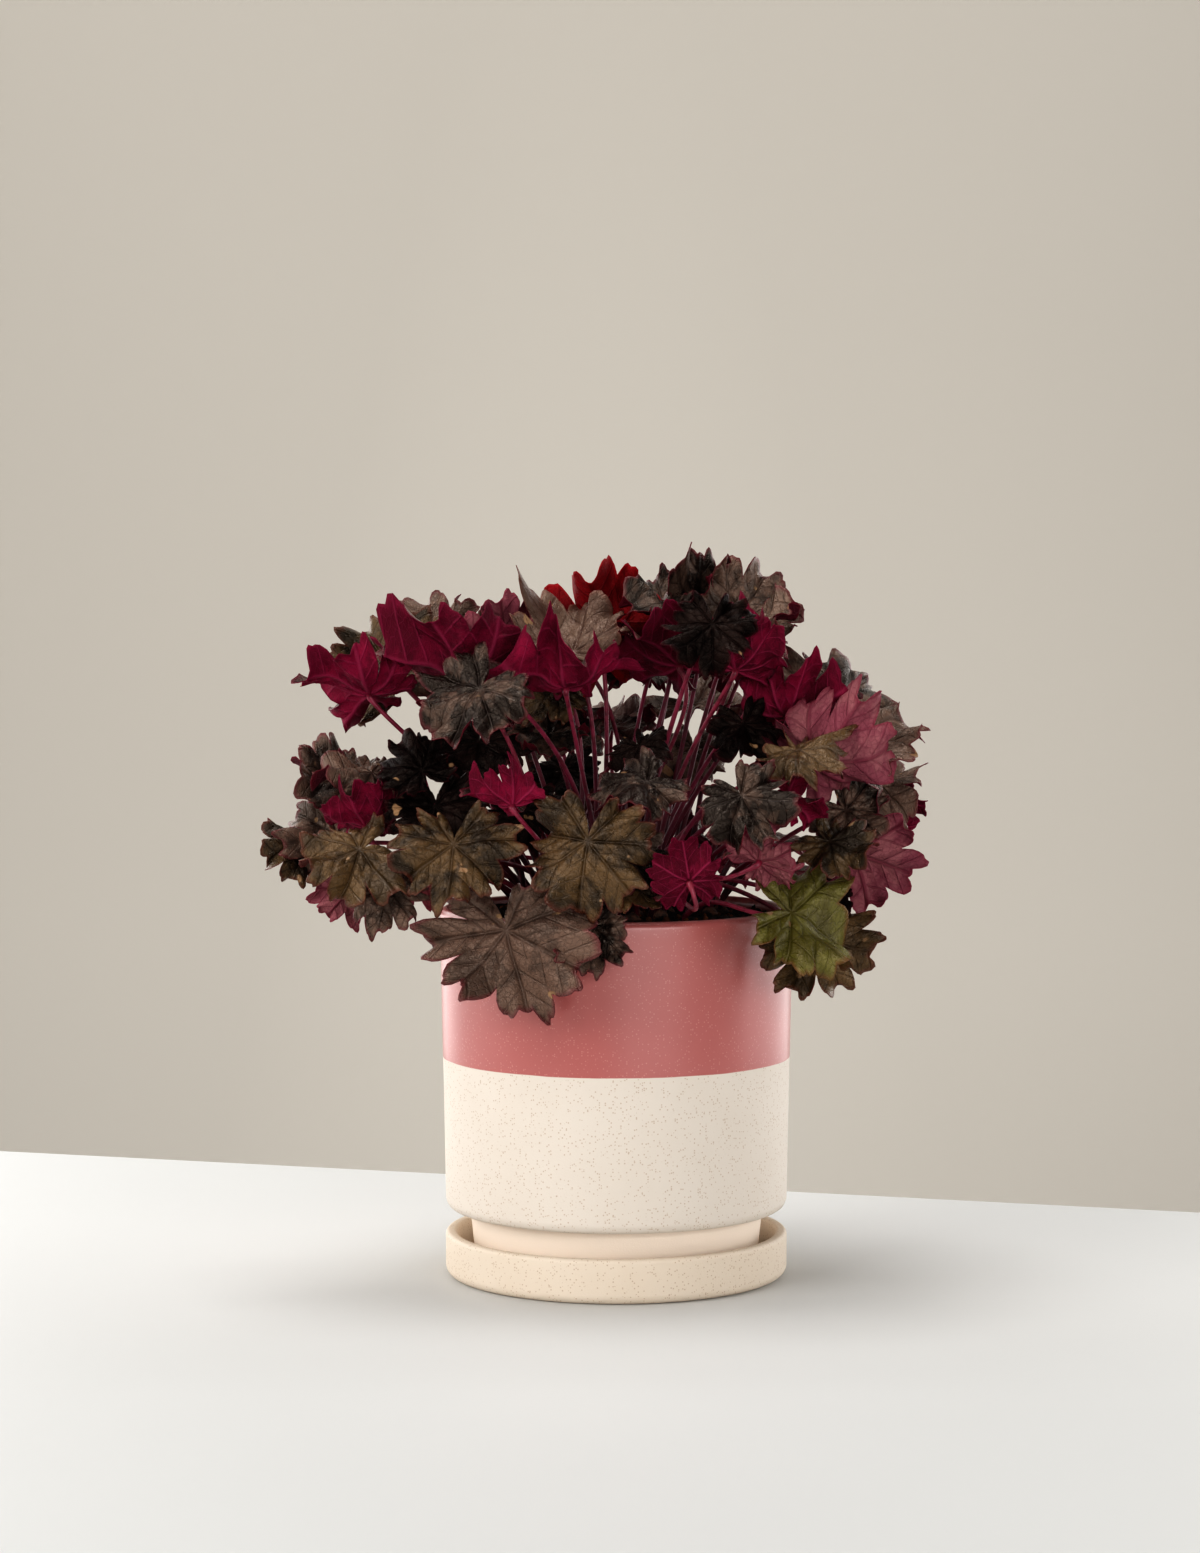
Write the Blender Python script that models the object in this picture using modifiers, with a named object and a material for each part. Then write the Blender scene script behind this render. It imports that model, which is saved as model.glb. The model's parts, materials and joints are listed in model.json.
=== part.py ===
"""A potted heuchera: a two-tone stoneware pot on its saucer, potting soil, and a crown of lobed leaves.

The origin is the centre of the saucer's underside, +Z is up and -Y is the side that faces the viewer.
Sizes are in metres, apart from the leaf tables, which are in millimetres.
"""

import math

import bpy
import numpy as np
from mathutils.bvhtree import BVHTree

MM = 0.001
SEED = 11
CLEARANCE = 0.0003

# Saucer
SAUCER_RADIUS = 0.0800
SAUCER_HEIGHT = 0.0205
SAUCER_FLOOR = 0.0060
SAUCER_FLOOR_RADIUS = 0.0722
SAUCER_RIM_INNER = 0.0748
SAUCER_RIM_ROUND = 0.0020
SAUCER_FOOT_ROUND = 0.0045

# Pot
POT_RADIUS = 0.0825
POT_LOW_RADIUS = 0.0800
POT_TOP = 0.1720
POT_BODY_LOW = 0.0315
POT_FOOT_TOP_RADIUS = 0.0686
POT_FOOT_RADIUS = 0.0660
POT_WALL = 0.0075
POT_FLOOR = 0.0090
POT_RIM_ROUND = 0.0030
POT_BODY_ROUND = 0.0050
DRAIN_RADIUS = 0.0060
TURNED_STEPS = 36
ROUND_STEPS = 2

# Soil
SOIL_EDGE_DROP = 0.0045
SOIL_DOME = 0.0030
SOIL_LUMP = 0.0012
SOIL_WAVES = (0.0110, 0.0090, 0.0060)
SOIL_STEPS = 27
SOIL_RINGS = 3
HOLE_DEPTH = 0.0150

# Leaf blade
BLADE_THICK = 0.0007
LOBE_TURN = math.radians(47.5)
OUTER_LOBE = 3
NOTCH = math.pi / LOBE_TURN
SHOULDER = 0.28
LOBE_FALL = 0.30
LOBE_FALL_POWER = 1.6
SINUS_POWER = 0.60
NOTCH_PART = 0.14
NOTCH_SPAN = NOTCH - OUTER_LOBE - 0.3
FOLD_ROUND = 0.08
INNER_RING = 0.55
INNER_TURNS = (-2.6, -1.5, -0.5, 0.5, 1.5, 2.6)

# What differs from leaf to leaf: the least value and the range of each draw, and the cup that rolls up
RUFFLE = (0.13, 0.13)
RUFFLE_TURNS = (0.48, 0.27)
SWELL = (0.06, 0.12)
TWIST = (0.06, 0.14)
FOLD = (-0.08, 0.28)
SINUS = (0.12, 0.34)
LOBE_LENGTH = (0.78, 0.34)
ROLL = (0.35, 0.80)
LEAF_DRAWS = 23
CUPPED = 0.19

# Leaf stalk
STALK_RADIUS = 0.0012
STALK_SIDES = 4
STALK_SPANS = 3
STALK_SEAT = 0.0020
STALK_RISE = 0.8
STALK_LOW_REACH = 0.38
STALK_HIGH_REACH = 0.36
STALK_HIGH_MOST = 0.0260
STALK_ARRIVAL = (0.85, 0.50)
ROOT_RISE = 0.0015
ROOT_SPREAD = 0.050

# Two leaves that grow from one short shoot of the crown
MATE_SPACING = 0.0020
SHOOT_RADIUS = 0.0042
SHOOT_TOP_RADIUS = 0.0040
SHOOT_SIDES = 6
SHOOT_RISE = 0.0035
MATE_SINK = 0.0030

# Search for a clear place
LEAF_GAP = 0.0004
TRIES = 360
STEADY_TRIES = 12
MOST_SHRINK = 0.22
MOST_EASE = 0.6
MOST_TURN = 16
MOST_SHIFT = (5, 9, 5)
MOST_SHIFT_OUT = 17
LOW_BEND = (0.003, 0.024)
HIGH_BEND = (0.002, 0.014)

# Leaf colours: upper face, underside
LEAF_COLOURS = {
    "bronze": ((0.075, 0.052, 0.050), (0.110, 0.020, 0.045)),
    "olive": ((0.095, 0.075, 0.040), (0.130, 0.040, 0.045)),
    "green": ((0.130, 0.160, 0.040), (0.180, 0.120, 0.060)),
    "taupe": ((0.200, 0.130, 0.095), (0.200, 0.080, 0.070)),
    "wine": ((0.070, 0.030, 0.038), (0.180, 0.010, 0.055)),
    "ruby": ((0.080, 0.025, 0.030), (0.260, 0.010, 0.030)),
    "mauve": ((0.085, 0.045, 0.050), (0.220, 0.075, 0.105)),
    "plum": ((0.035, 0.020, 0.026), (0.090, 0.018, 0.045)),
}
STALK_COLOUR = (0.230, 0.020, 0.045)

# Shoots that show from the front. A leaf is its colour, the place of its stalk's end, the place of its
# tip, the way that its upper face looks (azimuth and elevation in degrees), its cup and its droop.
FRONT_SHOOTS = [
    [("wine", (-67, -51, 278), (-108, -64, 288), (80, 62), 0.35, 0.05)],
    [("wine", (-23, -62, 276), (-27, -97, 289), (92, 74), 0.24, 0.00)],
    [("olive", (-13, -106, 210), (-18, -113, 178), (-102, 14), 0.10, 0.15)],
    [("mauve", (89, -63, 241), (109, -77, 269), (86, 14), 0.22, 0.00)],
    [("bronze", (54, -107, 230), (66, -117, 211), (-88, 28), 0.10, 0.25)],
    [("olive", (-114, -85, 205), (-137, -97, 197), (-98, 36), 0.12, 0.25)],
    [("wine", (-46, -105, 226), (-60, -119, 235), (80, 50), 0.25, 0.00)],
    [("bronze", (-49, -93, 170), (-41, -103, 134), (-100, 12), 0.14, 0.20)],
    [("green", (77, -87, 177), (108, -77, 168), (-86, 44), 0.12, 0.12)],
    [
        ("mauve", (63, -89, 200), (78, -103, 206), (92, 24), 0.12, 0.00),
        ("wine", (32, -114, 192), (29, -124, 210), (92, 16), 0.05, 0.00),
    ],
    [
        ("bronze", (4, -113, 212), (19, -123, 195), (-84, 32), 0.15, 0.20),
        ("olive", (5, -93, 193), (16, -103, 179), (-84, 24), 0.12, 0.20),
    ],
    [("wine", (-113, -61, 214), (-120, -79, 228), (92, 46), 0.20, 0.00)],
    [("bronze", (-11, -98, 172), (-12, -104, 152), (-88, 16), 0.14, 0.20)],
    [
        ("wine", (-111, -39, 274), (-141, -57, 284), (75, 46), 0.30, 0.00),
        ("olive", (-106, -7, 283), (-121, 11, 305), (-105, 30), 0.15, 0.20),
    ],
    [("bronze", (-87, 5, 298), (-100, 21, 327), (-115, 22), 0.25, 0.10)],
    [
        ("mauve", (-51, -14, 289), (-54, -21, 316), (92, 8), 0.30, 0.00),
        ("bronze", (-31, -27, 258), (-45, -43, 249), (-95, 34), 0.20, 0.20),
    ],
    [("taupe", (-20, -33, 291), (-38, -10, 312), (-95, 38), 0.20, 0.15)],
    [("ruby", (-7, -4, 292), (-12, -13, 327), (88, 4), 0.20, 0.00)],
    [
        ("olive", (-30, -30, 277), (-42, -44, 266), (-95, 42), 0.10, 0.20),
        ("plum", (-63, -25, 250), (-66, -43, 231), (-96, 26), 0.12, 0.20),
    ],
    [("bronze", (-60, -67, 272), (-78, -83, 246), (-105, 18), 0.12, 0.25)],
    [
        ("bronze", (24, 15, 308), (18, 29, 328), (-95, 22), 0.10, 0.20),
        ("bronze", (25, -15, 310), (5, -29, 314), (-60, 62), 0.06, 0.05),
    ],
    [("bronze", (41, 7, 307), (38, 17, 335), (-82, 12), 0.28, 0.00)],
    [
        ("bronze", (57, -7, 307), (71, 9, 331), (-78, 30), 0.20, 0.15),
        ("bronze", (62, -30, 302), (80, -39, 312), (-60, 62), 0.10, 0.10),
    ],
    [("wine", (54, -35, 297), (41, -49, 315), (96, 40), 0.30, 0.00)],
    [("wine", (57, -55, 292), (75, -75, 304), (78, 54), 0.30, 0.00)],
    [
        ("plum", (42, -82, 305), (42, -91, 284), (-92, 14), 0.15, 0.20),
        ("plum", (57, -57, 259), (63, -75, 244), (-90, 34), 0.15, 0.20),
    ],
    [("wine", (30, -25, 287), (8, -42, 308), (84, 40), 0.25, 0.00)],
    [("wine", (76, -45, 265), (86, -68, 286), (86, 46), 0.36, 0.00)],
    [("bronze", (99, -13, 268), (122, 1, 285), (-72, 34), 0.15, 0.20)],
    [
        ("bronze", (114, -28, 246), (140, -37, 252), (-78, 48), 0.12, 0.20),
        ("wine", (107, -45, 237), (125, -59, 249), (80, 34), 0.20, 0.00),
    ],
    [
        ("olive", (80, -85, 249), (98, -103, 243), (-80, 58), 0.12, 0.10),
        ("wine", (78, -67, 236), (91, -83, 230), (84, 40), 0.15, 0.00),
    ],
    [
        ("bronze", (118, -21, 233), (136, -31, 219), (-72, 30), 0.12, 0.25),
        ("wine", (126, 3, 221), (144, -7, 218), (92, 24), 0.10, 0.00),
    ],
    [("bronze", (104, -57, 224), (122, -67, 211), (-82, 34), 0.12, 0.20)],
    [("mauve", (108, -41, 200), (136, -53, 190), (96, -6), 0.15, 0.10)],
    [("olive", (94, -80, 208), (112, -89, 200), (-84, 42), 0.12, 0.20)],
    [
        ("plum", (81, -88, 193), (66, -96, 184), (-96, 34), 0.20, 0.20),
        ("plum", (97, -64, 188), (105, -76, 175), (-88, 28), 0.20, 0.20),
    ],
    [
        ("olive", (91, -54, 166), (104, -61, 140), (-78, 12), 0.12, 0.20),
        ("bronze", (78, -72, 169), (82, -74, 145), (-94, 6), 0.15, 0.10),
    ],
    [("bronze", (42, -73, 233), (21, -91, 227), (-96, 40), 0.12, 0.20)],
    [
        ("bronze", (13, -85, 235), (-5, -99, 228), (-94, 50), 0.10, 0.20),
        ("plum", (12, -45, 247), (22, -59, 237), (-84, 40), 0.10, 0.20),
    ],
    [
        ("bronze", (-123, -23, 236), (-149, -33, 236), (-78, 44), 0.12, 0.15),
        ("bronze", (-111, -49, 237), (-134, -63, 235), (-96, 54), 0.15, 0.10),
    ],
    [
        ("plum", (-91, -59, 231), (-105, -49, 249), (-92, 26), 0.15, 0.15),
        ("plum", (-79, -75, 225), (-77, -91, 205), (-92, 18), 0.15, 0.20),
    ],
    [("bronze", (-129, -38, 211), (-150, -31, 224), (-98, 30), 0.15, 0.20)],
    [
        ("bronze", (-102, -79, 187), (-107, -91, 168), (-96, 12), 0.12, 0.20),
        ("mauve", (-94, -84, 190), (-101, -92, 202), (92, 24), 0.30, 0.00),
    ],
    [
        ("mauve", (-121, -50, 184), (-133, -60, 169), (94, -8), 0.10, 0.00),
        ("olive", (-143, -24, 204), (-161, -32, 198), (-112, 22), 0.12, 0.25),
    ],
    [("olive", (-72, -95, 208), (-74, -111, 182), (-92, 20), 0.12, 0.25)],
    [
        ("plum", (-43, -31, 217), (-40, -43, 199), (-90, 24), 0.12, 0.20),
        ("plum", (-24, 3, 236), (-21, -9, 221), (-90, 30), 0.12, 0.20),
    ],
    [("bronze", (33, 7, 250), (30, -7, 232), (-90, 30), 0.12, 0.20)],
    [("plum", (81, 5, 253), (76, -7, 235), (-80, 26), 0.12, 0.20)],
]

# Shoots of the far side, each with a low leaf and a high one
BACK_SHOOTS = 10
BACK_FROM = math.radians(8)
BACK_TO = math.radians(172)
BACK_PART = math.radians(9)
BACK_TIERS = (
    {"reach": 88, "height": 204, "rise": -26, "colours": ("olive", "bronze", "mauve")},
    {"reach": 56, "height": 272, "rise": 14, "colours": ("bronze", "wine", "bronze")},
)
BACK_LENGTH = (27, 34)
BACK_STRAY = (9, 13, 18)
BACK_FACE = 46
BACK_CUP = 0.14
BACK_DROOP = 0.18
GOLDEN_PART = 0.618034


def clear_scene():
    for old in list(bpy.data.objects):
        bpy.data.objects.remove(old, do_unlink=True)


def new_collection(name):
    collection = bpy.data.collections.new(name)
    bpy.context.scene.collection.children.link(collection)
    return collection


def new_material(name, colour, roughness):
    material = bpy.data.materials.new(name)
    material.use_nodes = True
    shader = material.node_tree.nodes["Principled BSDF"]
    shader.inputs["Base Color"].default_value = (*colour, 1.0)
    shader.inputs["Roughness"].default_value = roughness
    shader.inputs["Metallic"].default_value = 0.0
    material.diffuse_color = (*colour, 1.0)
    return material


def new_object(name, points, faces, collection, materials=(), slots=None):
    mesh = bpy.data.meshes.new(name)
    mesh.from_pydata([tuple(p) for p in np.asarray(points, float).tolist()], [], faces)
    for material in materials:
        mesh.materials.append(material)
    if slots is not None:
        mesh.polygons.foreach_set("material_index", slots)
    obj = bpy.data.objects.new(name, mesh)
    collection.objects.link(obj)
    return obj


def made_plain(obj, name):
    """Replaces an object by its evaluated mesh, so that it carries no modifiers."""
    bpy.context.view_layer.update()
    graph = bpy.context.evaluated_depsgraph_get()
    mesh = bpy.data.meshes.new_from_object(obj.evaluated_get(graph))
    plain = bpy.data.objects.new(name, mesh)
    obj.users_collection[0].objects.link(plain)
    bpy.data.objects.remove(obj, do_unlink=True)
    plain.name = name
    mesh.name = name
    return plain


def unit(vector):
    return vector / np.linalg.norm(vector)


# Turned pieces


def rounded_outline(corners):
    """Points of an outline whose corners (radius, height, rounding) become arcs."""
    points = []
    for i, (radius, height, rounding) in enumerate(corners):
        here = np.array((radius, height))
        if not rounding:
            points.append(here)
            continue
        way_in = unit(np.array(corners[i - 1][:2]) - here)
        way_out = unit(np.array(corners[(i + 1) % len(corners)][:2]) - here)
        half = math.acos(float(way_in @ way_out)) / 2
        centre = here + unit(way_in + way_out) * rounding / math.sin(half)
        start = here + way_in * rounding / math.tan(half) - centre
        end = here + way_out * rounding / math.tan(half) - centre
        begin = math.atan2(start[1], start[0])
        sweep = (math.atan2(end[1], end[0]) - begin + math.pi) % (2 * math.pi) - math.pi
        for step in range(ROUND_STEPS + 1):
            angle = begin + sweep * step / ROUND_STEPS
            points.append(centre + rounding * np.array((math.cos(angle), math.sin(angle))))
    return points


def turned(name, outline, closed, steps, collection, material):
    """A solid of revolution about Z, from an outline that runs down its outer side."""
    points = [(radius, 0.0, height) for radius, height in outline]
    edges = [(i, i + 1) for i in range(len(points) - 1)]
    if closed:
        edges.append((len(points) - 1, 0))
    mesh = bpy.data.meshes.new(name)
    mesh.from_pydata(points, edges, [])
    mesh.materials.append(material)
    obj = bpy.data.objects.new(name, mesh)
    collection.objects.link(obj)
    screw = obj.modifiers.new("Turn", "SCREW")
    screw.axis = "Z"
    screw.angle = 2 * math.pi
    screw.steps = steps
    screw.render_steps = steps
    screw.use_merge_vertices = True
    screw.merge_threshold = 0.00001
    screw.use_smooth_shade = True
    return obj


def build_saucer(collection, material):
    corners = [
        (0.0, SAUCER_FLOOR, 0),
        (SAUCER_FLOOR_RADIUS, SAUCER_FLOOR, SAUCER_RIM_ROUND),
        (SAUCER_RIM_INNER, SAUCER_HEIGHT, SAUCER_RIM_ROUND),
        (SAUCER_RADIUS, SAUCER_HEIGHT, SAUCER_RIM_ROUND),
        (SAUCER_RADIUS, 0.0, SAUCER_FOOT_ROUND),
        (0.0, 0.0, 0),
    ]
    return turned("saucer", rounded_outline(corners), False, TURNED_STEPS, collection, material)


def pot_inside():
    """Corners of the pot's inside, from its floor up to its rim."""
    floor = SAUCER_FLOOR + CLEARANCE + POT_FLOOR
    return [
        (POT_FOOT_RADIUS - POT_WALL, floor),
        (POT_LOW_RADIUS - POT_WALL, POT_BODY_LOW + POT_WALL),
        (POT_RADIUS - POT_WALL, POT_TOP),
    ]


def build_pot(collection, material):
    under = SAUCER_FLOOR + CLEARANCE
    low, shoulder, top = pot_inside()
    corners = [
        (POT_RADIUS, POT_TOP, POT_RIM_ROUND),
        (POT_LOW_RADIUS, POT_BODY_LOW, POT_BODY_ROUND),
        (POT_FOOT_TOP_RADIUS, POT_BODY_LOW, 0),
        (POT_FOOT_RADIUS, under, 0),
        (DRAIN_RADIUS, under, 0),
        (DRAIN_RADIUS, low[1], 0),
        (*low, 0),
        (*shoulder, 0),
        (*top, POT_RIM_ROUND),
    ]
    return turned("pot", rounded_outline(corners), True, TURNED_STEPS, collection, material)


# Soil


def soil_height(x, y):
    """Height of the soil: a shallow dome with soft lumps, a little under the pot's rim."""
    inner = POT_RADIUS - POT_WALL
    dome = SOIL_DOME * (1 - (x**2 + y**2) / inner**2)
    across, along, slanted = SOIL_WAVES
    lumps = np.sin(x / across + 1.0) * np.cos(y / along) + 0.6 * np.sin((x - y) / slanted)
    return POT_TOP - SOIL_EDGE_DROP + dome + SOIL_LUMP * lumps


def build_soil(roots, collection, cutters, material):
    """Soil that fills the pot, with a plain hole for each stalk and each shoot."""
    low, shoulder, top = pot_inside()
    edge = top[0] - CLEARANCE
    level = POT_TOP - SOIL_EDGE_DROP
    outline = [(edge * ring / SOIL_RINGS, level) for ring in range(SOIL_RINGS + 1)]
    outline[-1] = (edge - (top[0] - shoulder[0]) * SOIL_EDGE_DROP / (POT_TOP - shoulder[1]), level)
    outline += [(shoulder[0] - CLEARANCE, shoulder[1]), (low[0] - CLEARANCE, low[1] + CLEARANCE)]
    outline.append((0.0, low[1] + CLEARANCE))
    soil = made_plain(turned("soil_blank", outline, False, SOIL_STEPS, collection, material), "soil")
    for vertex in soil.data.vertices:
        if vertex.co.z > level - CLEARANCE:
            vertex.co.z = soil_height(vertex.co.x, vertex.co.y)
    points = []
    faces = []
    for (x, y), radius, sides in roots:
        first = len(points)
        wide = radius + CLEARANCE / math.cos(math.pi / sides)
        turns = [2 * math.pi * (side + 0.5) / sides for side in range(sides)]
        for height in (soil_height(x, y) - HOLE_DEPTH, POT_TOP + HOLE_DEPTH):
            points += [(x + wide * math.cos(a), y + wide * math.sin(a), height) for a in turns]
        faces.append([first + side for side in reversed(range(sides))])
        faces.append([first + sides + side for side in range(sides)])
        for side in range(sides):
            after = (side + 1) % sides
            faces.append([first + side, first + after, first + sides + after, first + sides + side])
    cutter = new_object("stalk_holes", points, faces, cutters)
    cutter.hide_render = True
    cutter.display_type = "WIRE"
    cut = soil.modifiers.new("Holes", "BOOLEAN")
    cut.operation = "DIFFERENCE"
    cut.solver = "EXACT"
    cut.object = cutter
    return soil


# Leaf form


def smooth_step(value):
    value = np.clip(value, 0.0, 1.0)
    return value * value * (3 - 2 * value)


def closing(s):
    """1 over the blade, falling to 0 in the notch where the stalk comes in."""
    return smooth_step((NOTCH - np.abs(s)) / NOTCH_SPAN)


def outline_radius(leaf, s):
    """Distance from the stalk to the edge, for a middle lobe of length 1; s counts lobes from that one.

    The lobes get shorter towards the notch, each by its own factor, and between them the sinuses cut in,
    each to its own depth."""
    size = 1 - LOBE_FALL * (np.abs(s) / OUTER_LOBE) ** LOBE_FALL_POWER
    own = np.interp(s, np.arange(-OUTER_LOBE, OUTER_LOBE + 1), leaf["lobes"])
    depth = leaf["sinuses"][np.floor(s).astype(int) + OUTER_LOBE + 1]
    cuts = 1 - depth * (1 - np.abs(np.cos(math.pi * s)) ** SINUS_POWER)
    return size * own * cuts * (NOTCH_PART + (1 - NOTCH_PART) * closing(s))


def rolled(roll, y, height):
    """The blade's sides bent round the line of its middle vein, upwards where roll is positive."""
    radius = 1 / roll - height
    return radius * np.sin(roll * y), 1 / roll - radius * np.cos(roll * y)


def blade_surface(leaf, rho, s):
    """The blade's middle surface at the part rho of the way out to the edge, in the direction s.

    It is a cup that droops to the tip, with waves that grow towards the edge: one that lifts some lobes
    and lowers others, and two slower ones round the blade. Its sides are then rolled up or down."""
    theta = s * LOBE_TURN
    r = rho * outline_radius(leaf, s)
    x = r * np.cos(theta)
    y = r * np.sin(theta)
    ruffle, swell, twist, phase, swell_phase, twist_phase = leaf["waves"]
    waves = ruffle * np.cos(2 * math.pi * leaf["turns"] * s + phase) * closing(s)
    waves += swell * np.cos(3 * theta + swell_phase) + twist * np.cos(2 * theta + twist_phase)
    height = (leaf["cup"] + waves) * r**2 - leaf["droop"] * np.maximum(x, 0) ** 2
    height += leaf["fold"] * (np.sqrt(y**2 + FOLD_ROUND**2) - FOLD_ROUND)
    y, height = rolled(leaf["roll"], y, height)
    along, across, up = leaf["axes"]
    local = x[..., None] * along + y[..., None] * across + height[..., None] * up
    return leaf["joint"] + leaf["length"] * local


def leaf_pose(row, root, number, attempt):
    """Where a leaf stands on one of its tries: the first keep its place and sway the stalk,
    the later ones also shift, turn and flatten the blade a little. A cupped leaf rolls its sides up."""
    _, joint, tip, face, cup, droop = row
    sway = np.random.default_rng([SEED, number, attempt]).uniform(-1, 1, 12)
    growth = attempt / TRIES
    stray = max(0.0, (attempt - STEADY_TRIES) / (TRIES - STEADY_TRIES))
    azimuth = math.radians(face[0] + stray * MOST_TURN * sway[6])
    elevation = math.radians(face[1] + stray * MOST_TURN * sway[7])
    looks = np.array((math.cos(azimuth), math.sin(azimuth), 0.0)) * math.cos(elevation)
    looks[2] = math.sin(elevation)
    shift = stray * (sway[0:3] * MOST_SHIFT + MOST_SHIFT_OUT * sway[3] * looks)
    joint = (np.array(joint, float) + shift) * MM
    tip = (np.array(tip, float) + shift) * MM
    length = float(np.linalg.norm(tip - joint))
    along = (tip - joint) / length
    length *= 1 - MOST_SHRINK * stray * abs(sway[4])
    up = unit(looks - (looks @ along) * along)
    draws = np.random.default_rng([SEED, number]).uniform(0, 1, LEAF_DRAWS)
    ease = 1 - MOST_EASE * stray
    waves = [ease * (least + span * draw) for (least, span), draw in zip((RUFFLE, SWELL, TWIST), draws)]
    roll = ease * (ROLL[0] + ROLL[1] * draws[22])
    lobes = LOBE_LENGTH[0] + LOBE_LENGTH[1] * draws[8:14]
    bends = np.array(((sway[8], sway[9], 0.0), (sway[10], sway[11], 0.3 * sway[9])))
    bends[0] *= LOW_BEND[0] + LOW_BEND[1] * growth
    bends[1] *= HIGH_BEND[0] + HIGH_BEND[1] * growth
    return {
        "joint": joint,
        "length": length,
        "axes": (along, np.cross(up, along), up),
        "cup": cup,
        "droop": droop,
        "fold": FOLD[0] + FOLD[1] * draws[6],
        "turns": RUFFLE_TURNS[0] + RUFFLE_TURNS[1] * draws[7],
        "sinuses": SINUS[0] + SINUS[1] * draws[14:22],
        "roll": roll if cup > CUPPED else -roll,
        "lobes": np.concatenate([lobes[:3], [1.0], lobes[3:]]),
        "waves": (*waves, *(2 * math.pi * draws[3:6])),
        "root": root,
        "bends": bends,
    }


def stalk_curve(leaf, t):
    """Points and directions of the stalk's curve, from the soil (t = 0) to the blade (t = 1)."""
    along, _, up = leaf["axes"]
    x, y, height = leaf["root"]
    start = np.array((x, y, height))
    end = leaf["joint"] - up * STALK_SEAT
    span = float(np.linalg.norm(end - start))
    leaving = unit((end - start) / span + (0.0, 0.0, STALK_RISE))
    arrival = unit(STALK_ARRIVAL[0] * along + STALK_ARRIVAL[1] * up)
    first = start + STALK_LOW_REACH * span * leaving + leaf["bends"][0]
    second = end - arrival * min(STALK_HIGH_REACH * span, STALK_HIGH_MOST) + leaf["bends"][1]
    t = np.asarray(t, float)[:, None]
    points = (1 - t) ** 3 * start + 3 * (1 - t) ** 2 * t * first
    points += 3 * (1 - t) * t**2 * second + t**3 * end
    ways = (1 - t) ** 2 * (first - start) + 2 * (1 - t) * t * (second - first) + t**2 * (end - second)
    return points, ways / np.linalg.norm(ways, axis=1)[:, None]


# Leaf mesh


def edge_directions():
    """The directions of the edge's points: the sinus and two shoulders of each lobe, and the middle tip."""
    turns = [-NOTCH]
    for lobe in range(-OUTER_LOBE, OUTER_LOBE + 1):
        turns += [lobe - 0.5, lobe - SHOULDER]
        if lobe == 0:
            turns.append(0.0)
        turns.append(lobe + SHOULDER)
    turns.append(OUTER_LOBE + 0.5)
    return np.array(turns)


def zip_rings(outer, outer_turns, inner, inner_turns):
    """Triangles between two closed rings whose points are given anticlockwise."""
    faces = []
    i = 0
    j = 0
    outer_turns = [*outer_turns, outer_turns[0] + 2 * math.pi]
    inner_turns = [*inner_turns, inner_turns[0] + 2 * math.pi]
    while i < len(outer) or j < len(inner):
        go_outer = j == len(inner) or (i < len(outer) and outer_turns[i + 1] <= inner_turns[j + 1])
        a = outer[i % len(outer)]
        b = inner[j % len(inner)]
        if go_outer:
            i += 1
            faces.append((a, outer[i % len(outer)], b))
        else:
            j += 1
            faces.append((a, inner[j % len(inner)], b))
    return faces


def point_normals(points, faces):
    faces = np.array(faces)
    corners = points[faces]
    across = np.cross(corners[:, 1] - corners[:, 0], corners[:, 2] - corners[:, 0])
    normals = np.zeros_like(points)
    for corner in range(3):
        np.add.at(normals, faces[:, corner], across)
    return normals / np.linalg.norm(normals, axis=1)[:, None]


def stalk_rings(leaf, radius, sink):
    """Corners of the stalk, ring by ring: one at its foot in the soil, then along its curve."""
    points, ways = stalk_curve(leaf, np.linspace(0, 1, STALK_SPANS + 1))
    foot = points[0] - np.array((0.0, 0.0, sink))
    points = np.vstack([foot, points])
    ways = np.vstack([(0.0, 0.0, 1.0), ways])
    side = np.array((1.0, 0.0, 0.0))
    rings = []
    for point, way in zip(points, ways):
        side = unit(side - (side @ way) * way)
        third = np.cross(way, side)
        for corner in range(STALK_SIDES):
            turn = 2 * math.pi * (corner + 0.5) / STALK_SIDES
            rings.append(point + radius * (math.cos(turn) * side + math.sin(turn) * third))
    return np.array(rings)


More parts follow.
